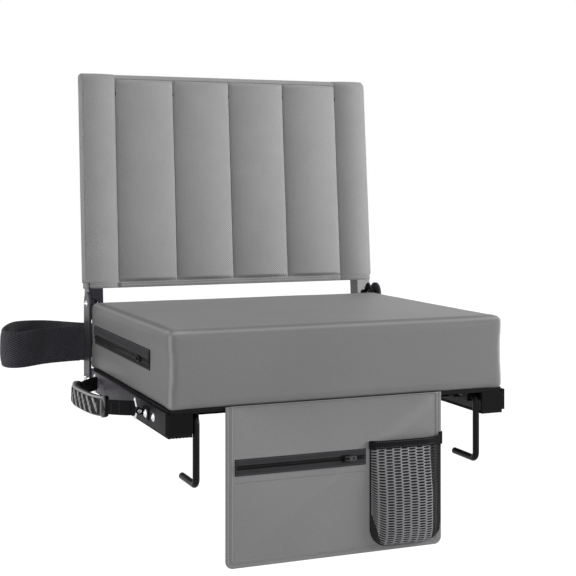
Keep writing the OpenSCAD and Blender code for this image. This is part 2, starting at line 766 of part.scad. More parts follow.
// Places along half of the curved bar, from its lowest point out to the end at the upright
function bar_path() =
    let (apex_h = bar_end_h - bar_rise, out = bar_end_x - bar_end_bend, far = bar_plane_d - bar_end_bend)
        concat(
            [for (i = [0 : 10]) let (a = bar_sweep * i / 10) [bar_arc_r * sin(a), bar_plane_d, apex_h + bar_arc_r * (1 - cos(a))]],
            [for (i = [5 : -1 : 0]) let (a = bar_sweep * i / 6)
                [bar_reach - bar_fillet * sin(a), bar_plane_d, bar_end_h - bar_fillet * (1 - cos(a))]],
            [for (i = [0 : 5]) let (a = i * 18) [out + bar_end_bend * sin(a), far + bar_end_bend * cos(a), bar_end_h]],
            [[bar_end_x, upright_d1, bar_end_h]]
        );

// Round tube along an open path that never runs straight up
module swept_tube(path, r, sides = 20) {
    m = len(path);
    loft([for (i = [0 : m - 1])
        let (v = unit(path[min(i + 1, m - 1)] - path[max(i - 1, 0)]), u = unit(cross([0, 0, 1], v)), w = cross(v, u))
            [for (j = [0 : sides - 1]) let (a = j * 360 / sides) path[i] + r * (cos(a) * u + sin(a) * w)]]);
}

module curved_back_bar() {
    half = bar_path();
    n = len(half);
    other = [for (i = [n - 1 : -1 : 1]) [-half[i][0], half[i][1], half[i][2]]];
    color(satin_steel) leaned() swept_tube(concat(other, half), bar_r);
}

// Webbing loop that holds the bar to the +X sleeve
module bar_keeper_loop() {
    t = 1.5;
    w = 12;
    x = bar_end_x - bar_end_bend - w - 1;
    gap = soft_gap;
    room = 4 * bar_dia;
    color(black_webbing) leaned() translate([x, bar_plane_d, bar_end_h]) difference() {
        union() {
            rod_x(bar_r + gap + t, 0, w);
            translate([0, -bar_plane_d + pad_back_d, -bar_r - gap - t - 9])
                cube([w, t, 2 * (bar_r + gap + t + 9)]);
        }
        rod_x(bar_r + gap, -1, w + 1);
        translate([-1, -bar_plane_d + pad_back_d - room, -room]) cube([w + 2, room, 2 * room]);
    }
}

// Bench hooks

// Quarter bend of a round rod in the YZ plane, starting at angle a
module rod_bend(r_bend, r, a) {
    rotate([0, 90, 0]) rotate([0, 0, a]) rotate_extrude(angle = 90, $fn = round_fn) translate([r_bend, 0]) circle(r = r, $fn = 32);
}

module hook() {
    b = hook_bend_r;
    color(black_steel) translate([hook_x, hook_y, 0]) {
        translate([0, 0, hook_axle_z]) rod_y(hook_r, b, hook_axle);
        translate([0, b, hook_axle_z - b]) rod_bend(b, hook_r, 180);
        translate([0, 0, hook_foot_z + b]) cylinder(r = hook_r, h = hook_axle_z - hook_foot_z - 2 * b, $fn = round_fn);
        translate([0, b, hook_foot_z + b]) rod_bend(b, hook_r, -90);
        translate([0, 0, hook_foot_z]) rod_y(hook_r, b, hook_foot);
    }
}

module hook_collar() {
    color(bright_steel) translate([hook_x, 0, hook_axle_z]) difference() {
        rod_y(collar_r, collar_y, collar_y + collar_t);
        rod_y(hook_r, hook_y, hook_y + hook_axle + 1);
    }
}

module hook_bearing_blocks() {
    low = hook_axle_z - hook_r - block_wall;
    inner_x = hook_x - hook_r - block_wall;
    color(black_steel) both_sides() for (y = block_y) difference() {
        translate([inner_x, y, low]) cube([runner_x0 - inner_x, block_len, runner_z1 - low]);
        translate([hook_x, 0, hook_axle_z]) rod_y(hook_r + pin_gap, y - 1, y + block_len + 1);
    }
}

// Carry handle, on the -X side

module at_handle_end(rear) {
    translate([-handle_x, handle_mid_y, handle_z])
        mirror([0, rear ? 1 : 0, 0]) translate([0, -handle_span / 2, 0]) children();
}

// Riveted tab with a rolled knuckle for the ring's stem
module handle_tab() {
    back = handle_x - plate_x1;
    dz = rivet_z - handle_z;
    difference() {
        union() {
            translate([back - tab_t, -tab_front, dz - tab_h / 2]) cube([tab_t, tab_front + knuckle_y + knuckle_len, tab_h]);
            translate([0, knuckle_y, -knuckle_r]) cube([back, knuckle_len, knuckle_r + 1]);
            rod_y(knuckle_r, knuckle_y, knuckle_y + knuckle_len);
        }
        rod_y(stem_r + pin_gap, knuckle_y - 1, knuckle_y + knuckle_len + 1);
        translate([0, 0, dz]) rod_x(rivet_r + fit_gap, 0, back + 1);
    }
}

module handle_tabs() {
    color(satin_steel) for (rear = [false, true]) at_handle_end(rear) handle_tab();
}

module handle_stems() {
    color(bright_steel) for (rear = [false, true]) at_handle_end(rear)
        rod_y(stem_r, knuckle_y - 1.5, ring_y - 1.1);
}

// Rounded corner at p, on the way from a to b
function corner_arc(a, p, b, r, steps = 4) =
    let (u = unit(a - p), v = unit(b - p), half = acos(u * v) / 2, c = p + unit(u + v) * r / sin(half),
        s = p + u * r / tan(half) - c, e = p + v * r / tan(half) - c)
        [for (i = [0 : steps]) c + unit(s * (1 - i / steps) + e * i / steps) * r];

// Wire of radius r along a closed path in the plane x = 0
module closed_wire(path, r, sides = 12) {
    m = len(path);
    points = [for (i = [0 : m - 1], j = [0 : sides - 1])
        let (t = unit(path[(i + 1) % m] - path[(i + m - 1) % m]), w = [0, -t[2], t[1]], a = j * 360 / sides)
            path[i] + r * (cos(a) * [1, 0, 0] + sin(a) * w)];
    polyhedron(points = points, faces = [for (i = [0 : m - 1], j = [0 : sides - 1])
        let (k = (i + 1) % m, l = (j + 1) % sides, a = i * sides + j, b = k * sides + j, c = k * sides + l, d = i * sides + l)
            each [[a, b, c], [a, c, d]]]);
}

module handle_ring() {
    a = [0, ring_y - 0.5, 0];
    b = [0, ring_y + ring_len, ring_half_h];
    c = [0, ring_y + ring_len, -ring_half_h];
    closed_wire(concat(corner_arc(c, a, b, ring_corner), corner_arc(a, b, c, ring_corner), corner_arc(b, c, a, ring_corner)),
        ring_wire_r);
}

module handle_rings() {
    color(bright_steel) for (rear = [false, true]) at_handle_end(rear) handle_ring();
}

// Puts the centre of the handle's bow at the origin, with the bow towards -X
module at_bow() {
    translate([-handle_x - handle_bow + bow_r, handle_mid_y, handle_z]) children();
}

module bow_band(r0, r1, angle, h) {
    rotate([0, 0, 180 - angle]) rotate_extrude(angle = 2 * angle, $fn = 4 * round_fn)
        translate([r0, -h / 2]) square([r1 - r0, h]);
}

module handle_webbing() {
    eye = ring_wire_r + 0.1;
    t = handle_web_t;
    color(black_webbing) difference() {
        union() {
            at_bow() bow_band(bow_r - t / 2, bow_r + t / 2, bow_angle - 0.8, handle_web_w);
            for (rear = [false, true]) at_handle_end(rear)
                translate([0, ring_y + ring_len, -handle_web_w / 2]) cylinder(r = eye + t, h = handle_web_w, $fn = round_fn);
        }
        for (rear = [false, true]) at_handle_end(rear)
            translate([0, ring_y + ring_len, -handle_web_w]) cylinder(r = eye, h = 2 * handle_web_w, $fn = round_fn);
    }
}

// Moulded grip: a rounded band along the bow with finger ribs and flared ends, slotted for the webbing
module handle_grip() {
    r_mid = bow_r + (grip_out - grip_in) / 2;
    thick = grip_in + grip_out;
    round_r = 3;
    rib_angle = grip_angle * 1.3 / grip_ribs;
    slot_t = handle_web_t + 0.3;
    color(black_plastic) at_bow() difference() {
        union() {
            rotate([0, 0, 180 - grip_angle]) rotate_extrude(angle = 2 * grip_angle, $fn = 4 * round_fn)
                translate([r_mid, 0]) polygon(round_outline(-thick / 2, thick / 2, -grip_h / 2, grip_h / 2, round_r, round_r, 4));
            for (i = [0 : grip_ribs - 1])
                rotate([0, 0, (i - (grip_ribs - 1) / 2) * rib_angle])
                    bow_band(bow_r + grip_out - 1, bow_r + grip_out + 1.6, rib_angle * 0.28, grip_h - 3);
            for (s = [-1, 1])
                rotate([0, 0, s * (grip_angle - 0.9)]) bow_band(bow_r - grip_in - 1, bow_r + grip_out + 1.2, 0.9, grip_h + 2);
        }
        bow_band(bow_r - slot_t / 2, bow_r + slot_t / 2, grip_angle + 3, handle_web_w + 0.4);
    }
}

// Shoulder strap

module strap_studs() {
    color(bright_steel) both_sides() translate([0, strap_stud_y, strap_z])
        rod_x(stud_r, plate_x1 - strap_web_t - strap_nut_t - 2, plate_x1);
}

module strap_nuts() {
    color(black_steel) both_sides()
        translate([plate_x1 - strap_web_t - strap_nut_t - 0.2, strap_stud_y, strap_z]) rotate([0, 90, 0]) difference() {
            union() {
                cylinder(r = strap_nut_r, h = strap_nut_t - 1.2, $fn = 6);
                translate([0, 0, strap_nut_t - 1.2]) cylinder(r = strap_nut_r + 1.2, h = 1.2, $fn = round_fn);
            }
            translate([0, 0, -1]) cylinder(r = stud_r, h = strap_nut_t + 2, $fn = round_fn);
        }
}

strap_line = spline(strap_route, strap_steps);

module shoulder_strap() {
    color(black_webbing) difference() {
        translate([0, 0, strap_z - strap_w / 2]) linear_extrude(strap_w) polygon(strip_outline(strap_line, strap_web_t));
        both_sides() translate([0, strap_stud_y, strap_z]) rod_x(stud_r + 0.2, plate_x1 - 8, plate_x1 + 2);
    }
}

module shoulder_pad() {
    line = [for (i = [strap_pad_first : strap_pad_last]) strap_line[i]];
    long_line = [for (i = [strap_pad_first - 1 : strap_pad_last + 1]) strap_line[i]];
    slot_t = strap_web_t + 0.6;
    slot_w = strap_w + 0.6;
    color(black_webbing) difference() {
        translate([0, 0, strap_z - strap_pad_w / 2]) linear_extrude(strap_pad_w) polygon(strip_outline(line, strap_pad_t));
        translate([0, 0, strap_z - slot_w / 2]) linear_extrude(slot_w) polygon(strip_outline(long_line, slot_t));
    }
}

// Front flap

module front_flap() {
    color(grey_cloth) translate([0, flap_y1, 0]) rotate([90, 0, 0]) linear_extrude(flap_t)
        polygon(round_outline(flap_x0, flap_x1, flap_z0, flap_z1, flap_corner_r, 1));
}

module flap_zip_tape() {
    color(black_webbing) translate([flap_zip_x0, flap_y0 - tape_t, flap_zip_z - zip_tape_w / 2])
        cube([flap_zip_len, tape_t, zip_tape_w]);
}

module flap_zip_coil() {
    color(black_plastic) translate([flap_zip_x0 + 2, flap_y0 - tape_t - coil_t, flap_zip_z - coil_w / 2])
        cube([flap_zip_len - 4, coil_t, coil_w]);
}

// Plan of the pocket, drawn in by the given wall
function pocket_plan(wall) = concat(
    [[pocket_x0 + wall, front_y]],
    [for (i = [0 : 5]) let (a = 180 + i * 18)
        [pocket_x0 + pocket_side + pocket_edge_r + (pocket_edge_r - wall) * cos(a),
         front_y - pocket_depth + pocket_edge_r + (pocket_edge_r - wall) * sin(a)]],
    [for (i = [0 : 5]) let (a = 270 + i * 18)
        [pocket_x1 - pocket_side - pocket_edge_r + (pocket_edge_r - wall) * cos(a),
         front_y - pocket_depth + pocket_edge_r + (pocket_edge_r - wall) * sin(a)]],
    [[pocket_x1 - wall, front_y]]
);

module pocket_body(wall) {
    intersection() {
        translate([0, 0, pocket_z0 - 1]) linear_extrude(pocket_h + 2) polygon(pocket_plan(wall));
        translate([0, front_y + 1, 0]) rotate([90, 0, 0]) linear_extrude(pocket_depth + 2)
            polygon(round_outline(pocket_x0 + wall, pocket_x1 - wall, pocket_z0 + wall, pocket_z1 + 40, pocket_corner_r - wall, 1));
    }
}

module mesh_pocket() {
    color([0.35, 0.35, 0.36]) difference() {
        pocket_body(0);
        pocket_body(pocket_wall);
        translate([pocket_x0 - 1, front_y - pocket_depth - 5, pocket_z1 - pocket_band_h])
            cube([pocket_w + 2, pocket_depth + 10, 60]);
    }
}

module pocket_top_band() {
    color(black_webbing) difference() {
        translate([0, 0, pocket_z1 - pocket_band_h]) linear_extrude(pocket_band_h) polygon(pocket_plan(0));
        translate([0, 0.5, pocket_z1 - pocket_band_h - 1]) linear_extrude(pocket_band_h + 2) polygon(pocket_plan(pocket_band_t));
    }
}

mirror([1, 0, 0]) runner();  // left_runner
runner();  // right_runner
mirror([1, 0, 0]) side_plate();  // left_side_plate
side_plate();  // right_side_plate
runner_end_caps();
mirror([1, 0, 0]) grip_strip();  // left_grip_strip
grip_strip();  // right_grip_strip
cross_bar(front_bar_y);  // front_cross_bar
cross_bar(rear_bar_y);  // rear_cross_bar
seat_board();
board_screws();
seat_cushion();
side_zip_tape();
side_zip_coil();
side_zip_slider();
side_zip_pull();
mirror([1, 0, 0]) hinge_bracket();  // left_hinge_bracket
hinge_bracket();  // right_hinge_bracket
rail_rivets();
pivot_bolts();
pivot_nuts();
pivot_bushes();
recline_stop_pins();
mirror([1, 0, 0]) upright();  // left_upright
upright();  // right_upright
upright_end_plugs();
top_cross_tube();
backrest_pad();
curved_back_bar();
bar_keeper_loop();
mirror([1, 0, 0]) hook();  // left_hook
hook();  // right_hook
mirror([1, 0, 0]) hook_collar();  // left_hook_collar
hook_collar();  // right_hook_collar
hook_bearing_blocks();
handle_tabs();
handle_stems();
handle_rings();
handle_webbing();
handle_grip();
strap_studs();
strap_nuts();
shoulder_strap();
shoulder_pad();
front_flap();
flap_zip_tape();
flap_zip_coil();
flap_zip_slider();
flap_zip_pull();
mesh_pocket();
pocket_top_band();
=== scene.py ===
"""Looks of the folding bleacher seat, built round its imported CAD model. Lengths below are in millimetres."""

import math

import bmesh
import bpy
import numpy as np
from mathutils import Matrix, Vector, noise


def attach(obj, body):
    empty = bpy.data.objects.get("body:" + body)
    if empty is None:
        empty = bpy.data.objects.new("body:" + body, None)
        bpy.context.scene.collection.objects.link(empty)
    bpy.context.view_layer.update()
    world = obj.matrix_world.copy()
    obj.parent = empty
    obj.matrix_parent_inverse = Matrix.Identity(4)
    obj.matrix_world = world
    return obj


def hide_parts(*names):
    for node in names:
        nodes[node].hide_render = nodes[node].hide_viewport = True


MM = 0.001
FRONT = (0, -1, 0)
UP = (0, 0, 1)
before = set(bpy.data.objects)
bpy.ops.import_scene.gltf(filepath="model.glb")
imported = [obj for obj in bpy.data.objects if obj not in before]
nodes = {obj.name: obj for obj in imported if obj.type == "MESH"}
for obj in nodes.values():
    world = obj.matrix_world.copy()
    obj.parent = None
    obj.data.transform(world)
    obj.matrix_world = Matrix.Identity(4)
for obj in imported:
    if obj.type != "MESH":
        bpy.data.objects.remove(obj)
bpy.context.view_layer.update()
scene = bpy.context.scene

# Places that part.scad gives
LEAN = math.radians(5)
PIVOT_Y = 186.5
PIVOT_Z = 117.5
FRONT_Y = -177.5
CUSHION_Z0 = 31.5
CUSHION_Z1 = 119.0
HALF_W = 215.0


def srgb(r, g=None, b=None):
    """Linear colour of a display colour given in 0..255."""
    linear = []
    for value in (r, r if g is None else g, r if b is None else b):
        v = value / 255
        linear.append(v / 12.92 if value <= 10 else ((v + 0.055) / 1.055) ** 2.4)
    return tuple(linear) + (1.0,)


def scaled(colour, factor):
    """Darker or lighter copy of a linear colour."""
    return tuple(min(1.0, c * factor) for c in colour[:3]) + (1.0,)


def leaned(x, d, h):
    """Place in the seat's frame of a point in the backrest's own frame."""
    y = PIVOT_Y + d * math.cos(LEAN) + h * math.sin(LEAN)
    z = PIVOT_Z - d * math.sin(LEAN) + h * math.cos(LEAN)
    return (x, y, z)


def leaned_dir(sign):
    """Unit vector along the backrest's own depth, towards the rear for +1."""
    return (0.0, sign * math.cos(LEAN), -sign * math.sin(LEAN))


# Camera. Focal length, picture side and height of the horizon in the picture are in pixels

FOCAL = 1261.0
PICTURE = 576
HORIZON = 180.1
SENSOR = 36
camera_data = bpy.data.cameras.new("camera")
camera = bpy.data.objects.new("camera", camera_data)
scene.collection.objects.link(camera)
camera_data.sensor_width = SENSOR
camera_data.lens = SENSOR * FOCAL / PICTURE
camera_data.shift_y = -(PICTURE / 2 - HORIZON) / PICTURE
camera_data.clip_start = 0.05
camera_data.clip_end = 60
camera.location = (-0.6226, -1.516, 0.287)
camera.rotation_euler = (math.radians(90), 0, math.radians(-22.35))
scene.camera = camera


# Materials


class Nodes:
    """Small helper that adds and links shader nodes."""

    def __init__(self, name):
        self.material = bpy.data.materials.new(name)
        self.material.use_nodes = True
        self.tree = self.material.node_tree
        self.shader = self.tree.nodes["Principled BSDF"]

    def add(self, kind, **values):
        node = self.tree.nodes.new(kind)
        for key, value in values.items():
            setattr(node, key, value)
        return node

    def link(self, a, b):
        self.tree.links.new(a, b)

    def put(self, socket, value):
        if isinstance(value, (int, float, tuple)):
            socket.default_value = value
        else:
            self.link(value, socket)

    def math(self, operation, a, b=None, c=None):
        node = self.add("ShaderNodeMath", operation=operation)
        for socket, value in zip(node.inputs, (a, b, c)):
            if value is not None:
                self.put(socket, value)
        return node.outputs[0]

    def mix(self, factor, a, b):
        node = self.add("ShaderNodeMix", data_type="RGBA")
        self.put(node.inputs[0], factor)
        self.put(node.inputs[6], a)
        self.put(node.inputs[7], b)
        return node.outputs[2]

    def noise(self, scale, detail, rough=0.5, where=None, stretch=None):
        coords = where or self.add("ShaderNodeTexCoord").outputs["Object"]
        if stretch:
            mapping = self.add("ShaderNodeMapping")
            mapping.inputs["Scale"].default_value = stretch
            self.link(coords, mapping.inputs["Vector"])
            coords = mapping.outputs[0]
        node = self.add("ShaderNodeTexNoise")
        node.inputs["Scale"].default_value = scale
        node.inputs["Detail"].default_value = detail
        node.inputs["Roughness"].default_value = rough
        self.link(coords, node.inputs["Vector"])
        return node.outputs["Fac"]

    def ramp(self, value, low, high, a=0.0, b=1.0):
        """Value from a to b as the input goes from low to high."""
        node = self.add("ShaderNodeMapRange")
        for socket, v in zip(node.inputs, (value, low, high, a, b)):
            self.put(socket, v)
        return node.outputs[0]

    def rim(self):
        """Painted highlight that the piece itself carries, 1 where it is lightest."""
        return self.add("ShaderNodeAttribute", attribute_name="rim").outputs["Fac"]

    def bump(self, height, distance, strength=1.0, normal=None):
        node = self.add("ShaderNodeBump")
        node.inputs["Strength"].default_value = strength
        node.inputs["Distance"].default_value = distance * MM
        self.link(height, node.inputs["Height"])
        if normal is not None:
            self.link(normal, node.inputs["Normal"])
        return node.outputs[0]

    def done(self, colour, rough, normal, **plain):
        self.put(self.shader.inputs["Base Color"], colour)
        self.put(self.shader.inputs["Roughness"], rough)
        self.link(normal, self.shader.inputs["Normal"])
        for key, value in plain.items():
            self.shader.inputs[key.replace("_", " ").title().replace("Ior", "IOR")].default_value = value
        return self.material


def woven(name, colour, warp, weft, depth, contrast, rough, sheen, ripple, patch, twill, spec, raised=None,
          rare=1.0):
    """Cloth woven along the piece's UV directions, which are in metres."""
    n = Nodes(name)
    uv = n.add("ShaderNodeTexCoord").outputs["UV"]
    split = n.add("ShaderNodeSeparateXYZ")
    n.link(uv, split.inputs[0])
    u, v = split.outputs[0], split.outputs[1]
    wobble = n.math("MULTIPLY", n.noise(160, 1.0, where=uv), 0.6 * warp * MM)
    u = n.math("ADD", n.math("ADD", u, wobble), n.math("MULTIPLY", v, twill))
    a = n.math("SINE", n.math("MULTIPLY", u, math.pi / (warp * MM)))
    b = n.math("SINE", n.math("MULTIPLY", v, math.pi / (weft * MM)))
    cross = n.math("MULTIPLY_ADD", n.math("MULTIPLY", a, b), 0.5, 0.5)
    slub = n.noise(900, 2.0, 0.6, uv, (1.0, 0.25, 1.0))
    height = n.math("MULTIPLY_ADD", slub, 0.5, cross)
    shade = n.ramp(height, 0.2, 1.3, 1 - contrast, 1 + contrast)
    mottle = n.ramp(n.noise(22, 3.0), 0.3, 0.7, 1 - patch, 1 + patch)
    light = n.math("POWER", n.ramp(n.math("MULTIPLY", shade, mottle), 0.7, 1.3), rare)
    base = n.mix(light, scaled(colour, 0.7), raised or scaled(colour, 1.3))
    normal = n.bump(n.noise(14, 2.0), ripple, 0.6)
    normal = n.bump(height, depth, 1.0, normal)
    return n.done(base, n.ramp(slub, 0.3, 0.7, rough - 0.05, min(1.0, rough + 0.06)), normal,
                  sheen_weight=sheen, sheen_roughness=0.5, specular_ior_level=spec)


def coated(name, colour, ripple, rim=None):
    """Smooth coated cloth: a fine grain over a very soft ripple, with a painted highlight towards the rim tone
    where the piece says rim.
    """
    rough = 0.5
    patch = 0.03
    n = Nodes(name)
    fine = n.noise(2600, 3.0, 0.6)
    mid = n.noise(420, 2.0)
    broad = n.noise(9, 2.0, 0.4)
    tone = n.math("MULTIPLY", *(n.ramp(part, 0.3, 0.7, 1 - patch, 1 + patch) for part in (mid, broad)))
    base = n.mix(n.ramp(tone, 0.85, 1.15), scaled(colour, 0.85), scaled(colour, 1.15))
    # Painted highlight: the cloth turns to the rim tone where the piece's rim attribute says
    if rim is not None:
        base = n.mix(n.math("MULTIPLY", n.rim(), n.ramp(mid, 0.2, 0.8, 0.8, 1.0)), base, rim)
    normal = n.bump(broad, ripple, 0.8)
    normal = n.bump(fine, 0.05, 0.7, normal)
    return n.done(base, n.ramp(mid, 0.3, 0.7, rough - 0.05, rough + 0.05), normal,
                  sheen_weight=0.08, sheen_roughness=0.4, specular_ior_level=0.12)


# Span of Y, in metres, over which a material's rear tone, a painted reflection, fades in towards the rear
REFLECTION_FROM = -0.09
REFLECTION_TO = 0.11


def hard(name, colour, worn_and_lit_tone, rough, metal, edge, grain, scale, spec, stretch=None, coat=0.0, painted_rim_highlight=False,
         rear=None):
    """Metal, paint and moulded plastic: rounded edges, a fine grain and a little wear on the edges, with a
    painted highlight from the piece's rim and a rear tone of painted reflection where asked.
    """
    n = Nodes(name)
    bevel = n.add("ShaderNodeBevel", samples=6)
    bevel.inputs["Radius"].default_value = edge * MM
    geometry = n.add("ShaderNodeNewGeometry")
    facing = n.add("ShaderNodeVectorMath", operation="DOT_PRODUCT")
    n.link(bevel.outputs[0], facing.inputs[0])
    n.link(geometry.outputs["Normal"], facing.inputs[1])
    fine = n.noise(scale, 3.0, 0.6, stretch=stretch)
    broad = n.noise(35, 3.0, 0.6)
    wear_and_highlight = n.math("MULTIPLY", n.ramp(facing.outputs["Value"], 0.96, 0.72), n.ramp(broad, 0.42, 0.6))
    # Painted highlight: where the piece's rim attribute says, the colour turns to the worn tone
    if painted_rim_highlight:
        wear_and_highlight = n.math("MAXIMUM", wear_and_highlight, n.rim())
    shade = n.mix(n.ramp(broad, 0.3, 0.7), scaled(colour, 0.86), scaled(colour, 1.12))
    # Painted reflection: the colour turns to the rear tone towards the rear
    if rear is not None:
        place = n.add("ShaderNodeSeparateXYZ")
        n.link(n.add("ShaderNodeTexCoord").outputs["Object"], place.inputs[0])
        shade = n.mix(n.ramp(place.outputs[1], REFLECTION_FROM, REFLECTION_TO), shade, rear)
    normal = n.bump(fine, grain, 0.6, bevel.outputs[0])
    return n.done(n.mix(wear_and_highlight, shade, worn_and_lit_tone), n.ramp(broad, 0.25, 0.75, max(0.05, rough - 0.07), rough + 0.07),
                  normal, metallic=metal, specular_ior_level=spec, coat_weight=coat)


# Tone, tone of worn edges (on the grip also the tone of its painted highlights), roughness, metal, edge
# radius, grain depth, grain scale and specular level
HARD = {
    "black_steel": (srgb(17, 17, 20), srgb(44, 44, 50), 0.36, 0.0, 0.7, 0.02, 1500, 0.1),
    "grey_steel": (srgb(58, 57, 62), srgb(104, 102, 110), 0.36, 0.0, 0.5, 0.015, 1300, 0.1),
    "plate_paint": (srgb(26, 26, 29), srgb(84, 82, 90), 0.36, 0.0, 0.5, 0.015, 1300, 0.02),
    "upright_paint": (srgb(24, 25, 33), srgb(60, 60, 70), 0.3, 0.0, 0.6, 0.01, 1500, 0.12),
    "dark_chrome": (srgb(104, 105, 110), srgb(150), 0.16, 1.0, 0.3, 0.004, 700, 0.5),
    "zinc_steel": (srgb(214, 214, 217), srgb(245), 0.2, 1.0, 0.4, 0.006, 1200, 0.5),
    "black_plastic": (srgb(15, 15, 16), srgb(44), 0.45, 0.0, 0.4, 0.04, 1800, 0.06),
    "grip_plastic": (srgb(9, 9, 10), srgb(215), 0.35, 0.0, 0.4, 0.02, 1600, 0.08),
    "black_rubber": (srgb(19, 19, 20), srgb(36), 0.75, 0.0, 0.4, 0.08, 1100, 0.1),
    "dark_board": (srgb(18, 18, 19), srgb(44, 41, 38), 0.7, 0.0, 0.5, 0.1, 260, 0.1),
    "coil_plastic": (srgb(12, 12, 13), srgb(36), 0.35, 0.0, 0.15, 0.01, 2000, 0.15),
    "pull_metal": (srgb(66, 66, 68), srgb(140), 0.4, 0.2, 0.25, 0.01, 1500, 0.25),
}
HARD_EXTRAS = {
    # The plates' rear tone is a painted reflection, lighter towards the rear
    "plate_paint": {"rear": srgb(104, 100, 108)},
    "upright_paint": {"coat": 0.32},
    # The grip carries painted highlights on its ribs, its top and bottom faces and its end flanges
    "grip_plastic": {"painted_rim_highlight": True},
    "dark_board": {"stretch": (0.15, 1.0, 3.0)},
}
# Tone, warp and weft pitch, depth, contrast, roughness, sheen, ripple, patchiness, twill and specular level,
# then the tone of the raised yarns and how rare they are
CLOTHS = {
    "flap_binding": (srgb(125, 125, 126), 0.7, 0.7, 0.12, 0.06, 0.8, 0.15, 0.1, 0.02, 0.0, 0.25),
    "back_cloth": (srgb(146, 146, 146), 1.7, 1.5, 0.42, 0.24, 0.85, 0.25, 0.35, 0.03, 0.0, 0.25),
    "black_webbing": (srgb(20, 20, 22), 1.6, 0.8, 0.35, 0.3, 0.7, 0.02, 0.1, 0.08, 0.35, 0.06),
    "strap_cloth": (srgb(42, 42, 46), 1.5, 1.4, 0.4, 0.5, 0.7, 0.04, 0.3, 0.1, 0.5, 0.08,
                    srgb(92, 92, 99), 1.9),
    "zip_tape": (srgb(51, 51, 53), 0.7, 1.2, 0.2, 0.25, 0.8, 0.03, 0.1, 0.05, 0.0, 0.08),
    "zip_dark": (srgb(28, 28, 29), 0.7, 1.2, 0.2, 0.25, 0.75, 0.02, 0.1, 0.05, 0.0, 0.06),
    "pocket_mesh": (srgb(131, 131, 133), 0.5, 0.5, 0.1, 0.12, 0.6, 0.1, 0.1, 0.04, 0.0, 0.15),
    # The pocket's dark cloth is painted shade, used for the sheet behind the net and for shaded cells of the
    # net
    "pocket_shade_cloth": (srgb(55, 55, 56), 0.9, 0.9, 0.2, 0.4, 0.8, 0.02, 0.1, 0.06, 0.0, 0.05),
    "thread": (srgb(104, 104, 106), 0.35, 0.35, 0.1, 0.2, 0.7, 0.1, 0.05, 0.03, 1.0, 0.25),
    "dark_thread": (srgb(74, 74, 80), 0.35, 0.35, 0.1, 0.2, 0.7, 0.1, 0.05, 0.03, 1.0, 0.25),
}
M = {name: hard(name, *row, **HARD_EXTRAS.get(name, {})) for name, row in HARD.items()}
M.update({name: woven(name, *row) for name, row in CLOTHS.items()})
# The cushion cloth's last tone is that of the painted highlight along the cushion's edges
M["cushion_cloth"] = coated("cushion_cloth", srgb(116, 116, 117), 0.35, srgb(170))
M["flap_cloth"] = coated("flap_cloth", srgb(125, 125, 126), 0.3)

NODE_MATERIALS = {
    "black_steel": ["left_runner", "right_runner", "front_cross_bar", "rear_cross_bar", "top_cross_tube",
                    "left_hook", "right_hook", "hook_bearing_blocks", "pivot_nuts", "strap_nuts",
                    "recline_stop_pins"],
    "upright_paint": ["left_upright", "right_upright"],
    "plate_paint": ["left_side_plate", "right_side_plate", "handle_tabs"],
    "grey_steel": ["left_hinge_bracket", "right_hinge_bracket"],
    "dark_chrome": ["curved_back_bar"],
    "zinc_steel": ["board_screws", "rail_rivets", "pivot_bolts", "left_hook_collar", "right_hook_collar",
                   "handle_stems", "handle_rings", "strap_studs"],
    "black_plastic": ["runner_end_caps", "upright_end_plugs", "pivot_bushes", "side_zip_slider",
                      "side_zip_pull", "flap_zip_slider"],
    "black_rubber": ["left_grip_strip", "right_grip_strip"],
    "dark_board": ["seat_board"],
    "pull_metal": ["flap_zip_pull"],
}
for material, names in NODE_MATERIALS.items():
    for name in names:
        node = nodes[name]
        if not node.data.materials:
            node.data.materials.append(M[material])
        for slot in node.material_slots:
            slot.material = M[material]


# Mesh helpers


def make(name, verts, faces, material, uvs=None):
    """Smooth object from points in millimetres. uvs has one pair for each point, in millimetres."""
    mesh = bpy.data.meshes.new(name)
    mesh.from_pydata([(x * MM, y * MM, z * MM) for x, y, z in verts], [], faces)
    if uvs is not None:
        layer = mesh.uv_layers.new(name="UVMap")
        for loop in mesh.loops:
            u, v = uvs[loop.vertex_index]
            layer.data[loop.index].uv = (u * MM, v * MM)
    work = bmesh.new()
    work.from_mesh(mesh)
    bmesh.ops.recalc_face_normals(work, faces=work.faces)
    work.to_mesh(mesh)
    work.free()
    for polygon in mesh.polygons:
        polygon.use_smooth = True
    obj = bpy.data.objects.new(name, mesh)
    scene.collection.objects.link(obj)
    obj.data.materials.append(M[material])
    return obj


def modify(obj, *steps):
    """Adds modifiers, each a type and its settings, and applies all that the object has."""
    for kind, settings in steps:
        modifier = obj.modifiers.new(kind.lower(), kind)
        for key, value in settings.items():
            setattr(modifier, key, value)
    graph = bpy.context.evaluated_depsgraph_get()
    mesh = bpy.data.meshes.new_from_object(obj.evaluated_get(graph))
    obj.modifiers.clear()
    obj.data = mesh


def give(obj, body, slot, *replaced):
    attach(obj, body)
    if replaced:
        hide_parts(*replaced)


def set_painted_highlight(obj, values):
    """Writes the painted highlight at each point, which the materials read as rim."""
    layer = obj.data.attributes.new("rim", "FLOAT", "POINT")
    layer.data.foreach_set("value", np.array(values, np.float32))


def tube_faces(rings, sides, start=0, cap=True):
    """Faces of a tube through rings of points, the first of them numbered start."""
    faces = []
    for i in range(rings - 1):
        a = start + i * sides
        for j in range(sides):
            k = (j + 1) % sides
            faces.append((a + j, a + k, a + sides + k, a + sides + j))
    if cap:
        faces.append(tuple(start + j for j in range(sides - 1, -1, -1)))
        faces.append(tuple(start + (rings - 1) * sides + j for j in range(sides)))
    return faces


def tube(name, rings, material, uvs=None):
    """Closed tube through rings of equal length."""
    verts = [p for ring in rings for p in ring]
    return make(name, verts, tube_faces(len(rings), len(rings[0])), material, uvs)


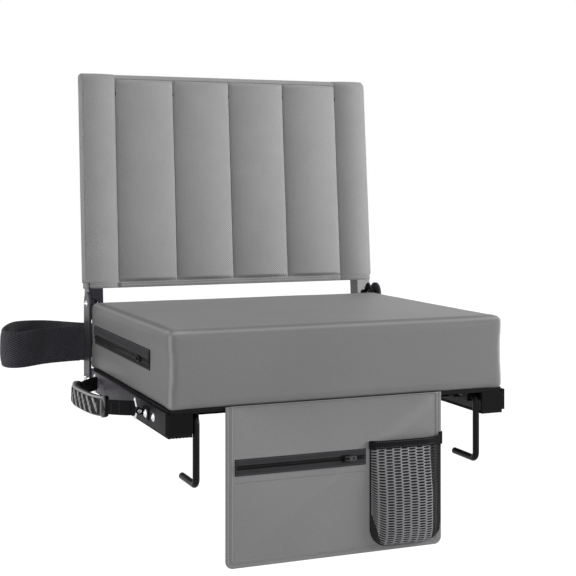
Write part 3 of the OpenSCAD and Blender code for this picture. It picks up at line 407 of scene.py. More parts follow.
def arc(x, y, r, start, turn, steps):
    """Points round a circle, over turn degrees from start."""
    angles = [math.radians(start + turn * i / steps) for i in range(steps + 1)]
    return [(x + r * math.cos(a), y + r * math.sin(a)) for a in angles]


def spline(points, steps):
    """Smooth curve through the points, without the first and the last."""
    out = []
    p = [np.array(q, float) for q in points]
    for i in range(1, len(p) - 2):
        a, b, c, d = p[i - 1 : i + 3]
        for s in range(steps):
            t = s / steps
            out.append(0.5 * (2 * b + (c - a) * t + (2 * a - 5 * b + 4 * c - d) * t * t
                              + (3 * b - a - 3 * c + d) * t ** 3))
    out.append(p[-2])
    return out


def lengths(points):
    """Distance along a polyline at each of its points."""
    return np.concatenate([[0], np.cumsum(np.linalg.norm(np.diff(points, axis=0), axis=1))])


def resample(points, step):
    """Points a step apart along a polyline."""
    p = np.array(points, float)
    total = lengths(p)
    count = max(2, int(round(total[-1] / step)) + 1)
    where = np.linspace(0, total[-1], count)
    return np.stack([np.interp(where, total, p[:, k]) for k in range(p.shape[1])], 1)


def outward_of(path, across):
    """Outward direction at each point of a path whose ribbon is wide along across."""
    along = np.gradient(np.array(path, float), axis=0)
    along /= np.linalg.norm(along, axis=1)[:, None]
    out = np.cross(along, np.array(across, float))
    return out / np.linalg.norm(out, axis=1)[:, None]


# Width of the raised selvedge along each edge of a webbing, and points across a ribbon's face
SELVEDGE = 4.2
BAND_POINTS = 15


def band_section(width, thick, edge=None, rib=0.0):
    """Outline of a ribbon as (across, out, distance round it). rib is how far the selvedges stand out."""
    r = min(edge if edge is not None else 0.45 * thick, 0.49 * thick)
    half = width / 2
    span = np.linspace(-half + r, half - r, BAND_POINTS)
    top = [(t, thick / 2 + rib * (abs(t) > half - SELVEDGE)) for t in span]
    end = [(half - r + r * math.cos(a), r * math.sin(a)) for a in np.linspace(math.pi / 3, -math.pi / 3, 4)]
    points = top + end + [(t, -o) for t, o in top[::-1]] + [(-t, -o) for t, o in end]
    return [(a, o, s) for (a, o), s in zip(points, lengths(points))]


def webbing(name, path, across, width, thick, body, *replaced, **section):
    """Flat strip of black webbing along a path, given to a body; UV runs along it and round it."""
    p = np.array(path, float)
    out = outward_of(p, across)
    cross = np.array(across, float)
    outline = band_section(width, thick, **section)
    length = lengths(p)
    rings = []
    uvs = []
    for i, centre in enumerate(p):
        rings.append([tuple(centre + cross * a + out[i] * o) for a, o, _ in outline])
        uvs += [(s, length[i]) for _, _, s in outline]
    give(tube(name, rings, "black_webbing", uvs), body, "black_webbing", *replaced)


# One stitch as (share of its length, share of its radius, height over the cloth in radii)
STITCH = ((0.0, 0.35, -0.35), (0.15, 0.8, -0.05), (0.5, 1.0, 0.25), (0.85, 0.8, -0.05), (1.0, 0.35, -0.35))
STITCH_SQUASH = 1.15
TUBE_SIDES = 6


def stitching(name, lines, material, size, body, slot):
    """Rows of thread stitches given to a body. Each line is a path and its outward direction, or one for each
    point. size is the pitch, the length and the radius of a stitch."""
    pitch, length, radius = size
    verts = []
    faces = []
    uvs = []
    for path, outward in lines:
        p = resample(path, pitch)
        outward = np.atleast_2d(np.array(outward, float))
        stride = len(outward) // len(p)
        for i in range(len(p) - 1):
            v = p[i + 1] - p[i]
            gap = np.linalg.norm(v)
            if gap < 0.3 * pitch:
                continue
            v = v / gap
            o = outward[min(i * stride, len(outward) - 1)]
            w = np.cross(v, o)
            w /= np.linalg.norm(w)
            faces += tube_faces(len(STITCH), TUBE_SIDES, len(verts))
            for t, k, lift in STITCH:
                centre = p[i] + v * length * t + o * radius * lift
                for j in range(TUBE_SIDES):
                    angle = 2 * math.pi * j / TUBE_SIDES
                    spoke = w * math.cos(angle) * STITCH_SQUASH + o * math.sin(angle)
                    verts.append(tuple(centre + spoke * radius * k))
                    uvs.append((angle * radius, t * length))
    give(make(name, verts, faces, material, uvs), body, slot)


def sheet_solid(name, grid, material):
    """Closed sheet from a grid of (front place, back place, UV)."""
    rows = len(grid)
    cols = len(grid[0])
    front, back, uvs = ([point[i] for row in grid for point in row] for i in range(3))
    total = rows * cols
    faces = []
    for i in range(rows - 1):
        for j in range(cols - 1):
            a = i * cols + j
            faces.append((a, a + 1, a + cols + 1, a + cols))
            faces.append((total + a, total + a + cols, total + a + cols + 1, total + a + 1))
    rim = list(range(cols)) + [i * cols + cols - 1 for i in range(1, rows)]
    rim += [(rows - 1) * cols + j for j in range(cols - 2, -1, -1)]
    rim += [i * cols for i in range(rows - 2, 0, -1)]
    for a, b in zip(rim, rim[1:] + rim[:1]):
        faces.append((a, total + a, total + b, b))
    return make(name, front + back, faces, material, uvs * 2)


def waver(x, y, z, size):
    """Smooth noise of about -1 to 1 whose features are as large as size."""
    return noise.noise(Vector((x / size, y / size, z / size)))


def ease(t):
    """Smooth step from 0 to 1."""
    t = min(1.0, max(0.0, t))
    return t * t * (3 - 2 * t)


# Cushion: a box of foam in a coated cover, swelled by a short cloth simulation

FOOT_R = 1.4
TOP_R = 4.5
CORNER_STEPS = 6
VOXEL = 3.4
SIM_STEPS = 12
COVER_CLOTH = {
    "quality": 3,
    "mass": 0.3,
    "use_pressure": True,
    "uniform_pressure_force": 4.0,
    "tension_stiffness": 15,
    "compression_stiffness": 15,
    "bending_stiffness": 1.5,
}
# Most that the simulation may move a point
SWELL_MOST = 1.6
# The sides are drawn in most at the waist, and the rear corners stand out over the brackets
WAIST_Z = 77.0
WAIST_HALF = 24.0
WAIST_DRAW = 1.6
EAR_Y = 166.0
EAR_SPAN = 6.0
EAR_GROW = 0.016
EAR_OUT = 3.4
CROWN = 1.4
# How far the cover may stand out of the foam's box: at the sides, the rear, the top and the foot
SIDE_GIVE = 0.3
REAR_GIVE = 1.5
TOP_GIVE = 1.2
FOOT_GIVE = 1.0
# Depth and size of the dents in the cover, which face inwards below DENT_TOP
DENTS = ((0.3, 70), (0.1, 24))
DENT_TOP = 116.0
# Distance from an edge that gets the painted highlight in full, the span over which that fades, and a distance
# with none
HIGHLIGHT_CORE = 1.3
HIGHLIGHT_FADE = 4.8
HIGHLIGHT_FAR = 40.0


def cushion_ring(inset, z, corner):
    """Rounded outline of the cushion, drawn in by inset."""
    hx = HALF_W - inset
    hy = -FRONT_Y - inset
    points = []
    for quarter, (sx, sy) in enumerate(((1, 1), (-1, 1), (-1, -1), (1, -1))):
        points += arc(sx * (hx - corner), sy * (hy - corner), corner, 90 * quarter, 90, CORNER_STEPS)
    return [(x, y, z) for x, y in points]


def cushion_box():
    """Plain box with rounded edges, meshed evenly."""
    shrink = 0.2
    rings = []
    for t in (0, 45, 90):
        a = math.radians(t)
        inset = shrink + FOOT_R * (1 - math.sin(a))
        rings.append(cushion_ring(inset, CUSHION_Z0 - FOOT_GIVE + FOOT_R * (1 - math.cos(a)), 3.0))
    for t in (0, 18, 36, 54, 72, 90):
        a = math.radians(t)
        inset = shrink + TOP_R * (1 - math.cos(a))
        rings.append(cushion_ring(inset, CUSHION_Z1 + 0.6 - TOP_R * (1 - math.sin(a)), 4.0 + t / 30))
    cushion = tube("cushion_cover", rings, "cushion_cloth")
    modify(cushion, ("REMESH", {"mode": "VOXEL", "voxel_size": VOXEL * MM}))
    return cushion


def inflate(cushion):
    """Presses the cover outwards with a cloth simulation."""
    cloth = cushion.modifiers.new("cloth", "CLOTH")
    for key, value in COVER_CLOTH.items():
        setattr(cloth.settings, key, value)
    cloth.settings.effector_weights.gravity = 0
    cloth.collision_settings.use_collision = False
    for step in range(1, SIM_STEPS + 1):
        scene.frame_set(step)
    modify(cushion)
    scene.frame_set(1)


def places(cushion):
    return np.array([v.co for v in cushion.data.vertices], float)


def waist(z):
    """Share of the draw at a height, 1 at the waist."""
    return 1 - np.clip(np.abs(z - WAIST_Z) / WAIST_HALF, 0, 1) ** 3


def build_cushion():
    cushion = cushion_box()
    start = places(cushion)
    inflate(cushion)
    move = places(cushion) - start
    size = np.linalg.norm(move, axis=1)
    move *= (np.minimum(size, SWELL_MOST * MM) / np.maximum(size, 1e-9))[:, None]
    co = (start + move) / MM
    ear = np.clip((co[:, 1] - EAR_Y) / EAR_SPAN, 0, 1) ** 2
    co[:, 0] *= 1 + EAR_GROW * ear
    limit_x = HALF_W + SIDE_GIVE + EAR_OUT * ear - WAIST_DRAW * waist(co[:, 2]) * (1 - ear)
    co[:, 0] = np.clip(co[:, 0], -limit_x, limit_x)
    co[:, 1] = np.clip(co[:, 1], FRONT_Y - SIDE_GIVE, -FRONT_Y + REAR_GIVE)
    co[:, 2] = np.clip(co[:, 2], CUSHION_Z0 - FOOT_GIVE, CUSHION_Z1 + TOP_GIVE)
    top = np.clip((co[:, 2] - CUSHION_Z1 + 6) / 5, 0, 1)
    crown = CROWN * (1 - (co[:, 0] / HALF_W) ** 2) * (1 - (co[:, 1] / FRONT_Y) ** 2)
    co[:, 2] += np.maximum(top * crown, 0)
    for vertex, place in zip(cushion.data.vertices, co):
        x, y, z = place
        dent = sum(depth * waver(x, y, z, size) for depth, size in DENTS)
        inward = -abs(dent) if z < DENT_TOP else dent
        vertex.co = (Vector(place) + vertex.normal * inward) * MM
    finer = {"levels": 1, "render_levels": 1}
    modify(cushion, ("SMOOTH", {"iterations": 2, "factor": 0.4}), ("SUBSURF", finer))
    for polygon in cushion.data.polygons:
        polygon.use_smooth = True
    cushion.data.materials.clear()
    cushion.data.materials.append(M["cushion_cloth"])
    # Painted highlight along the cushion's edges
    set_painted_highlight(cushion, cushion_painted_highlight(places(cushion) / MM))
    give(cushion, "seat", "cushion_cloth", "seat_cushion")


def cushion_painted_highlight(co):
    """Painted highlight at each place, from its distance to the second nearest face, which is small only along
    an edge.
    """
    gap = np.stack([HALF_W - WAIST_DRAW * waist(co[:, 2]) - np.abs(co[:, 0]), -FRONT_Y - np.abs(co[:, 1]),
                    np.where(co[:, 2] > WAIST_Z - 1, CUSHION_Z1 + TOP_GIVE - co[:, 2], HIGHLIGHT_FAR)], 1)
    second = np.sort(gap, axis=1)[:, 1]
    return np.clip(1 - np.maximum(second - HIGHLIGHT_CORE, 0) / HIGHLIGHT_FADE, 0, 1) ** 1.2


build_cushion()


# Backrest pad: six sewn channels, a hem, a sloped top edge and a plain rear

PAD_W = 218.0
PAD_H0 = 20.5
PAD_H = 302.0
HEM_H = 8.5
SEAM_D = 15.0
BULGE = 10.0
BACK_D = 38.0
TOP_SEAM = 7.5
HEM_SINK = 4.6
TOP_SINK = 3.6
# How steeply an outer and an inner channel rise from their seams
OUTER_POWER = 0.75
INNER_POWER = 0.5
# Distance below the top and above the hem over which a channel fills out
TOP_FILL = 8.0
HEM_FILL = 4.5
GROOVE_HALF = 0.9
PUCKER = 0.45
SEAMS = (-218.0, -170.0, -85.0, 0.0, 85.0, 170.0, 218.0)
REAR_SEAMS = (-85.0, 0.0, 85.0, -179.0, 179.0)
OUTER_COLUMNS = 18
INNER_COLUMNS = 26
SIDE_STEPS = 7
# Heights of the rows of points near the foot, and distances below the top of those near it
FOOT_ROWS = (0.0, 0.6, 1.5, 3.5, 6.0, 7.6, 8.1, 8.6, 9.1, 9.5, 10.0, 10.6, 11.4, 12.4, 13.6, 15.6, 18.0, 20.5)
TOP_ROWS = (8.2, 7.4, 6.4, 5.0, 3.5, 2.0, 0.8, 0.0)
# The outer channels wrap the uprights, so their arch starts this many degrees round at the pad's side
SIDE_TURN = 24.0


def set_back(h):
    """How far the front face slopes back near the top."""
    return float(np.interp(h - PAD_H, (-13, -8.5, -6, -3, 0), (0, 1.2, 3.2, 7.6, 12.0)))


def rise(distance, span):
    """Share of the full swell at a distance from the seam that closes a channel."""
    return 1 - (1 - min(1.0, max(0.0, distance / span))) ** 2.6


def pad_front(x, h):
    """Depth of the pad's front face at x and at a height above its foot."""
    channel = max(i for i in range(6) if x >= SEAMS[i] - 1e-6)
    low, high = SEAMS[channel], SEAMS[channel + 1]
    t = (x - low) / (high - low)
    turn = 180 * t
    if channel == 0:
        turn = SIDE_TURN + (180 - SIDE_TURN) * t
    elif channel == 5:
        turn = (180 - SIDE_TURN) * t
    swell = max(0.0, math.sin(math.radians(turn)))
    outer = channel in (0, 5)
    base = SEAM_D
    if outer:
        arch = 0.85 * swell ** OUTER_POWER
        full = (0.9 if h < HEM_H else 1.0) * (0.45 + 0.55 * ease((PAD_H - h) / TOP_FILL))
    else:
        from_top = PAD_H - TOP_SEAM - h
        arch = 0.68 * swell ** INNER_POWER + 1.3 * t * (1 - t)
        full = rise(from_top, TOP_FILL) * rise(h - HEM_H - 0.6, HEM_FILL)
        if h < HEM_H - 0.4:
            base -= HEM_SINK
        elif from_top < 0:
            base -= TOP_SINK * ease(from_top / -1.2)
    near = min(abs(x - s) for s in SEAMS[1:6])
    groove = math.exp(-((near / GROOVE_HALF) ** 2)) if HEM_H < h < PAD_H - 7 else 0.0
    pucker = PUCKER * waver(x * 0.6, 3.0, h, 11) * math.exp(-near / 9) if HEM_H < h < PAD_H - 8 else 0.0
    slack = 0.5 * waver(x, 0.0, h * 0.5, 46) + 0.15 * waver(x, 5.0, h, 15)
    if outer and PAD_W - abs(x) < 20:
        slack *= 0.5
    slope = set_back(h) * (0.55 if outer else 1.0)
    return base + slope - BULGE * full * arch + groove + pucker + slack


def pad_back(x, h):
    """Depth of the pad's rear face at x and at a height above its foot."""
    recess = 1.6 * ease((172 - abs(x)) / 5)
    seams = sum(0.7 * math.exp(-(((x - s) / 1.6) ** 2)) for s in REAR_SEAMS)
    return BACK_D - recess - seams - 0.35 * abs(waver(x, 9.0, h, 40)) - 1.5 * ease((h - PAD_H + 4) / 4)


def pad_columns():
    """Places across the pad, closer together at the seams."""
    columns = []
    for c in range(6):
        steps = OUTER_COLUMNS if c in (0, 5) else INNER_COLUMNS
        for s in range(steps):
            t = 0.5 * (1 - math.cos(math.pi * s / steps)) / 2 + 0.5 * s / steps
            columns.append(SEAMS[c] + (SEAMS[c + 1] - SEAMS[c]) * t)
    return columns + [PAD_W]


def pad_rows():
    """Heights up the pad, closer together at the hem and at the top."""
    coarse = np.arange(24, PAD_H - 25, 4.0)
    fine = np.arange(PAD_H - 24, PAD_H - 9, 2.0)
    return list(np.concatenate([FOOT_ROWS, coarse, fine, [PAD_H - drop for drop in TOP_ROWS]]))


def pad_ring(h, columns):
    """Points round the pad at one height: front, right side, rear and left side."""
    foot = 1 - min(1.0, h / 1.2)
    narrow = 1.3 if h < HEM_H else 0.0
    narrow += 0.9 * foot + 0.3 * max(0.0, (h - PAD_H + 2.0) / 2.0)
    scale = (PAD_W - narrow) / PAD_W
    pinch = 1.2 * foot
    front = [(x * scale, pad_front(x, h) + pinch, h) for x in columns]
    rear = [(x * scale, pad_back(x, h) - pinch, h) for x in reversed(columns)]
    d0, d1 = front[-1][1], rear[0][1]
    right = []
    left = []
    for i in range(1, SIDE_STEPS):
        t = i / SIDE_STEPS
        side_x = PAD_W * scale + 0.25 * (1.4 * math.sin(math.pi * t) ** 0.5 - 0.4)
        right.append((side_x, d0 + (d1 - d0) * t, h))
        left.append((-side_x, d1 + (d0 - d1) * t, h))
    return front + right + rear + left


def pad_cap(start, wide, size):
    """Faces that close one end of the pad: a ladder from front to rear and a fan at each side."""
    faces = []
    for i in range(wide - 1):
        across = start + SIDE_STEPS - 2 + 2 * wide - i
        faces.append((start + i, start + i + 1, across - 1, across))
    faces.append(tuple(start + wide - 1 + i for i in range(SIDE_STEPS + 1)))
    faces.append((start,) + tuple(start + size - i for i in range(1, SIDE_STEPS + 1)))
    return faces


def build_pad():
    columns = pad_columns()
    wide = len(columns)
    rings = []
    uvs = []
    for h in pad_rows():
        ring = pad_ring(h, columns)
        rings.append([leaned(x, d, PAD_H0 + z) for x, d, z in ring])
        uvs += [(round_it if i >= wide else ring[i][0], h) for i, round_it in enumerate(lengths(ring))]
    size = len(rings[0])
    faces = tube_faces(len(rings), size, cap=False)
    faces += pad_cap(0, wide, size) + pad_cap((len(rings) - 1) * size, wide, size)
    pad = make("back_pad", [p for ring in rings for p in ring], faces, "back_cloth", uvs)
    give(pad, "backrest", "back_cloth", "backrest_pad")


# Heights of the stitches along the hem, and places of the upright rows on the rear face
HEM_STITCHES = (5.8, 2.4)
REAR_STITCHES = (-181.5, -176.5, 176.5, 181.5)
QUILT_STITCHES = (-85.0, 0.0, 85.0)


def front_line(points, proud=0.1):
    """Line of stitches on the pad's front face."""
    return ([leaned(x, pad_front(x, h) - proud, PAD_H0 + h) for x, h in points], leaned_dir(-1))


def rear_line(points, proud=0.15):
    """Line of stitches on the pad's rear face."""
    return ([leaned(x, pad_back(x, h) + proud, PAD_H0 + h) for x, h in points], leaned_dir(1))


def sew_pad():
    across = np.arange(-214, 214, 6.0)
    lines = [front_line([(s, h) for h in np.arange(HEM_H + 3, PAD_H - 9, 4.0)], 0.2) for s in SEAMS[1:6]]
    lines += [front_line([(x, h) for x in across]) for h in HEM_STITCHES]
    lines.append(front_line([(x, PAD_H - 6.9) for x in np.arange(-168, 169, 6.0)], 0.15))
    for s in REAR_STITCHES:
        lines.append(rear_line([(s, h) for h in np.arange(2, PAD_H - 6, 8.0)]))
    for h in (5.5, PAD_H - 9):
        lines.append(rear_line([(x, h) for x in across]))
    for s in QUILT_STITCHES:
        lines.append(rear_line([(s, h) for h in np.arange(4, PAD_H - 8, 8.0)], -0.1))
    stitching("back_stitching", lines, "thread", (3.4, 2.4, 0.28), "backrest", "back_cloth")


build_pad()
sew_pad()


# Rear details of the backrest: patches at the bar's ends and a keeper loop round the bar

BAR_END_H = 183.0
BAR_X = 205.0
BAR_D = 45.0
KEEPER_R = 7.1
KEEPER_FOOT = 39.75
PATCH_HALF = 15.0
PATCH_HOLE = 7.0
PATCH_STEPS = 24
PATCH_MOST_X = 216.5
PATCH_SEW = 12


def rear_patches():
    lines = []
    centre_h = BAR_END_H - PAD_H0
    for side, name in ((-1, "rear_patch_left"), (1, "rear_patch_right")):
        centre_x = side * (BAR_X - 3)
        grid = []
        for size, lift in ((0.0, 0.0), (0.06, 0.9), (0.5, 0.95), (1.0, 0.9)):
            ring = []
            for i in range(PATCH_STEPS + 1):
                a = 2 * math.pi * i / PATCH_STEPS
                c, s = math.cos(a), math.sin(a)
                square = PATCH_HALF / max(abs(c), abs(s))
                r = PATCH_HOLE + (min(square, PATCH_HALF * 1.28) - PATCH_HOLE) * (1 - size)
                x = max(-PATCH_MOST_X, min(PATCH_MOST_X, centre_x + r * c))
                h = centre_h + r * s
                ring.append((leaned(x, pad_back(x, h) + lift + 0.05, PAD_H0 + h),
                             leaned(x, pad_back(x, h) - 0.4, PAD_H0 + h), (x, h)))
            grid.append(ring)
        give(sheet_solid(name, grid, "back_cloth"), "backrest", "back_cloth")
        corners = []
        for sx, sh in ((-1, -1), (-1, 1), (1, 1), (1, -1), (-1, -1)):
            x = max(-HALF_W, min(HALF_W, centre_x + sx * PATCH_SEW))
            corners.append((x, centre_h + sh * PATCH_SEW))
        lines.append(rear_line(corners, 1.05))
    stitching("patch_stitching", lines, "thread", (3.2, 2.2, 0.28), "backrest", "back_cloth")


def keeper():
    x = BAR_X - 15.5
    foot = ((38.9, 17), (38.9, 12), (39.2, 8.4))
    points = [(d, BAR_END_H - h) for d, h in foot]
    points += arc(BAR_D, BAR_END_H, KEEPER_R, -125, 240, 20)
    points += [(d, BAR_END_H + h) for d, h in reversed(foot)]
    path = resample([leaned(x, d, h) for d, h in points], 1.4)
    webbing("bar_keeper", path, (1, 0, 0), 12, 1.4, "backrest", "bar_keeper_loop")
    lines = []
    for h in (BAR_END_H - 13.5, BAR_END_H + 13.5):
        for dx in (-3.5, 3.5):
            lines.append(([leaned(x + dx + end, KEEPER_FOOT, h) for end in (-2, 2)], leaned_dir(1)))
    stitching("keeper_stitching", lines, "dark_thread", (2.0, 1.6, 0.25), "backrest", "black_webbing")


rear_patches()
keeper()


# Front flap: a cloth panel with a bound edge and two rows of stitching

FLAP_X0 = -148.0
FLAP_X1 = 128.0
FLAP_Z0 = -151.8
FLAP_Z1 = 31.5
FLAP_MID_Y = -176.25
FLAP_R = 9.0
ARC_STEPS = 8
EDGE_STEPS = 26
BINDING_W = 8.0
# The bound edge as (distance in from the edge, distance out of the flap's middle)
BINDING_SHAPE = ((0.0, 0.0), (0.15, 0.7), (0.7, 1.12), (1.6, 1.25), (4.0, 1.2), (4.6, 0.95), (5.2, 1.2),
                 (7.2, 1.25), (7.8, 1.1), (8.1, 0.72), (8.7, 0.78), (10.5, 0.85))
TUCK_Z = -55.5


def flap_outline(inset):
    """Points round the flap, drawn in by inset, from the top left corner down and round."""
    x0, x1 = FLAP_X0 + inset, FLAP_X1 - inset
    z0, z1 = FLAP_Z0 + inset, FLAP_Z1 - min(inset, 1.2)
    r = max(0.6, FLAP_R - inset)
    points = [(x0, z1 + (z0 + r - z1) * i / EDGE_STEPS) for i in range(EDGE_STEPS)]
    points += arc(x0 + r, z0 + r, r, 180, 90, ARC_STEPS)
    points += [(x0 + r + (x1 - x0 - 2 * r) * i / EDGE_STEPS, z0) for i in range(1, EDGE_STEPS)]
    points += arc(x1 - r, z0 + r, r, 270, 90, ARC_STEPS)
    points += [(x1, z0 + r + (z1 - z0 - r) * i / EDGE_STEPS) for i in range(1, EDGE_STEPS + 1)]
    points += [(x1 + (x0 - x1) * i / EDGE_STEPS, z1) for i in range(1, EDGE_STEPS)]
    return points


def build_flap():
    rings = []
    for inset, lift in reversed(BINDING_SHAPE):
        rings.append([(x, FLAP_MID_Y - lift, z) for x, z in flap_outline(inset)])
    for inset, lift in BINDING_SHAPE[1:]:
        rings.append([(x, FLAP_MID_Y + min(lift, 1.0), z) for x, z in flap_outline(inset)])
    flap = tube("flap_panel", rings, "flap_cloth", [(x, z) for ring in rings for x, _, z in ring])
    flap.data.materials.append(M["flap_binding"])
    for polygon in flap.data.polygons:
        x, z = polygon.center.x / MM, polygon.center.z / MM
        edge = min(x - FLAP_X0, FLAP_X1 - x, z - FLAP_Z0)
        polygon.material_index = 1 if edge < BINDING_W and len(polygon.vertices) == 4 else 0
    give(flap, "flap", "flap_cloth", "front_flap")
    lines = []
    border = 2 * (ARC_STEPS + 1) + 3 * EDGE_STEPS - 1
    for inset, proud in ((4.6, 1.08), (7.0, 1.28)):
        lines.append(([(x, FLAP_MID_Y - proud, z) for x, z in flap_outline(inset)[:border]], FRONT))
    lines.append(([(x, -177.2, TUCK_Z) for x in (FLAP_X0 + 12, 28.0)], FRONT))
    stitching("flap_stitching", lines, "thread", (3.4, 2.4, 0.26), "flap", "flap_cloth")


build_flap()


# Zips: a tape with a slot, a row of teeth and stitching, in a frame of along, up and out

SLOT = 1.7
TOOTH_PITCH = 1.45
TOOTH_WIDE = 3.7
TOOTH_HIGH = 1.05
WIRE_R = 0.34
# One side of a coil as (share of its width, share of its height, share of the wire's radius)
TOOTH = ((-0.55, 0.1, 0.55), (-0.5, 0.75, 0.8), (-0.15, 1.0, 0.9), (0.2, 0.85, 1.0), (0.32, 0.35, 0.8))


def zip_tape(name, place, length, width, coil, material, thick=1.15):
    """Tape whose lower edge is at up = 0 and whose coil runs at up = coil."""
    edge = ((0.0, 0.15), (0.2, thick - 0.2), (0.7, thick), (2.2, thick), (2.6, thick - 0.18), (3.0, thick))
    lip = ((SLOT + 1.4, thick), (SLOT + 0.9, thick + 0.3), (SLOT, thick + 0.25), (SLOT - 0.2, thick - 0.25))
    profile = list(edge) + [(coil - b, o) for b, o in lip] + [(coil, thick - 0.3)]
    profile += [(coil + b, o) for b, o in reversed(lip)] + [(width - b, o) for b, o in reversed(edge)]
    count = int(length / 4)
    grid = []
    for i in range(count + 1):
        a = length * i / count
        ends = min(1.0, min(a, length - a) / 0.6 + 0.2)
        grid.append([(place(a, b, 0.1 + (o - 0.1) * ends), place(a, b, 0.0), (b, a)) for b, o in profile])
    tape = sheet_solid(name, grid, material)
    tape.data.materials.append(M["coil_plastic"])
    for polygon in tape.data.polygons:
        if all(abs(profile[v % len(profile)][0] - coil) < SLOT + 1.0 for v in polygon.vertices):
            polygon.material_index = 1
    return tape


def teeth(name, place, length, coil, base):
    """Moulded coil: a loop of wire at each pitch, leaning from one side to the other."""
    verts = []
    faces = []
    for i in range(int(length / TOOTH_PITCH)):
        for side in (-1, 1):
            a = 2 + (i + (0.25 if side > 0 else 0.75)) * TOOTH_PITCH
            faces += tube_faces(len(TOOTH), TUBE_SIDES, len(verts))
            for t, level, size in TOOTH:
                r = WIRE_R * size
                for j in range(TUBE_SIDES):
                    angle = 2 * math.pi * j / TUBE_SIDES
                    verts.append(place(a + r * math.cos(angle), coil + side * t * TOOTH_WIDE * -0.9,
                                       base + TOOTH_HIGH * level * 0.72 + r * math.sin(angle) * 0.8))
    return make(name, verts, faces, "coil_plastic")


FLAP_ZIP_X0 = -137.0
FLAP_ZIP_LEN = 164.0
FLAP_ZIP_Z0 = -47.8
FLAP_ZIP_Y = -177.1
FLAP_ZIP_W = 19.0
FLAP_COIL = 9.5


def flap_place(a, b, o):
    return (FLAP_ZIP_X0 + a, FLAP_ZIP_Y - o, FLAP_ZIP_Z0 + b)


def flap_zip():
    tape = zip_tape("flap_zip_cloth", flap_place, FLAP_ZIP_LEN, FLAP_ZIP_W, FLAP_COIL, "zip_tape")
    give(tape, "flap", "zip_tape", "flap_zip_tape")
    coil = teeth("flap_zip_teeth", flap_place, FLAP_ZIP_LEN - 4, FLAP_COIL, 1.2)
    give(coil, "flap", "black_plastic", "flap_zip_coil")
    rows = []
    for b in (1.6, FLAP_ZIP_W - 1.6):
        rows.append(([flap_place(a, b, 1.2) for a in np.arange(1, FLAP_ZIP_LEN - 1, 5)], FRONT))
    for a in (2.0, FLAP_ZIP_LEN - 2.0):
        rows.append(([flap_place(a, b, 1.2) for b in np.arange(2, 18, 3)], FRONT))
    stitching("flap_zip_stitching", rows, "dark_thread", (3.0, 2.1, 0.24), "flap", "zip_tape")


SIDE_ZIP_Y0 = -100.5
SIDE_ZIP_LEN = 268.0
SIDE_ZIP_Z0 = 65.5
SIDE_X = -213.6
SIDE_COIL = 9.0
STORM_STEPS = 67
# The storm flap as (up, out). Its free edge, below STORM_EDGE, waves a little
STORM_SHAPE = ((12.2, 1.0), (12.3, 1.75), (12.9, 2.0), (15.0, 1.95), (15.4, 1.7), (15.8, 1.95), (19.0, 1.8),
               (22.4, 1.6), (22.8, 1.35), (23.2, 1.55), (24.0, 1.4), (24.4, 0.9))
STORM_EDGE = 13.0
STORM_WAVE = 0.12


def side_place(a, b, o):
    return (SIDE_X - o, SIDE_ZIP_Y0 + a, SIDE_ZIP_Z0 + b)


def side_zip():
    tape = zip_tape("side_zip_cloth", side_place, SIDE_ZIP_LEN, 24.5, SIDE_COIL, "zip_dark", 1.0)
    give(tape, "seat", "zip_tape", "side_zip_tape")
    coil = teeth("side_zip_teeth", side_place, SIDE_ZIP_LEN - 4, SIDE_COIL, 1.0)
    give(coil, "seat", "black_plastic", "side_zip_coil")
    grid = []
    for i in range(STORM_STEPS + 1):
        a = 0.4 + (SIDE_ZIP_LEN - 0.8) * i / STORM_STEPS
        lift = STORM_WAVE * waver(a, 2.0, 0.0, 20)
        shape = [(b + lift if b < STORM_EDGE else b, o) for b, o in STORM_SHAPE]
        grid.append([(side_place(a, b, o), side_place(a, b, 0.85), (b, a)) for b, o in shape])
    give(sheet_solid("side_zip_storm_flap", grid, "zip_tape"), "seat", "zip_tape")
    rows = []
    for b, o in ((1.6, 1.05), (15.4, 1.8), (22.8, 1.45)):
        rows.append(([side_place(a, b, o) for a in np.arange(1, SIDE_ZIP_LEN - 1, 6)], (-1, 0, 0)))
    rows.append(([side_place(2.2, b, 1.1) for b in np.arange(1.5, 11.5, 2)], (-1, 0, 0)))
    stitching("side_zip_stitching", rows, "dark_thread", (3.2, 2.2, 0.24), "seat", "zip_tape")


flap_zip()
side_zip()


# Mesh pocket: an open net of lens-shaped holes over a dark sheet of painted shade, its binding and its elastic
# band

POCKET_X0 = 32.8
POCKET_X1 = 125.5
POCKET_MID = (POCKET_X0 + POCKET_X1) / 2
POCKET_HALF = (POCKET_X1 - POCKET_X0) / 2
POCKET_Z1 = -20.5
POCKET_Z0 = -145.5
POCKET_DEPTH = 14.0
POCKET_BAND = 9.5
POCKET_CORNER = 22.0
BAND_SHARE = 0.45
BELLY_END = 0.55
CLOSING_START = 0.78
NET_RIPPLE = 0.5
# Cells given painted shade, in the dark cloth: the last columns of the net, and those below a line across its
# left foot
SHADED_COLS = 2
SHADED_TOP = 33.0
SHADED_SLOPE = 0.32
NET_CUT = (0.118, 0.126)
NET_THICK = 0.55
NET_COLS = 10
NET_ROWS = 36
CELL_POINTS = 16
HOLE_WIDE = 0.475
HOLE_HIGH = 0.33
LENS_POWER = 5
# Path of the tab round the flap's right edge as (distance out from the edge, Y, Z)
TAB_PATH = ((-4.0, -178.6, -24.0), (-1.0, -178.7, -23.9), (0.6, -178.2, -23.8), (1.1, -176.4, -23.7),
            (0.6, -174.6, -23.7), (-1.5, -174.1, -23.7), (-7.0, -174.1, -23.7))
# Plan from the flap at the pocket's left, over its front and back to the flap, in shares of width and depth
PLAN_SHAPE = ((0.0, 0.0), (0.012, 0.2), (0.06, 0.42), (0.16, 0.66), (0.35, 0.9), (0.6, 1.0), (0.75, 1.0),
              (0.8, 0.96), (0.84, 0.8), (0.88, 0.58), (0.94, 0.27), (1.0, 0.0))


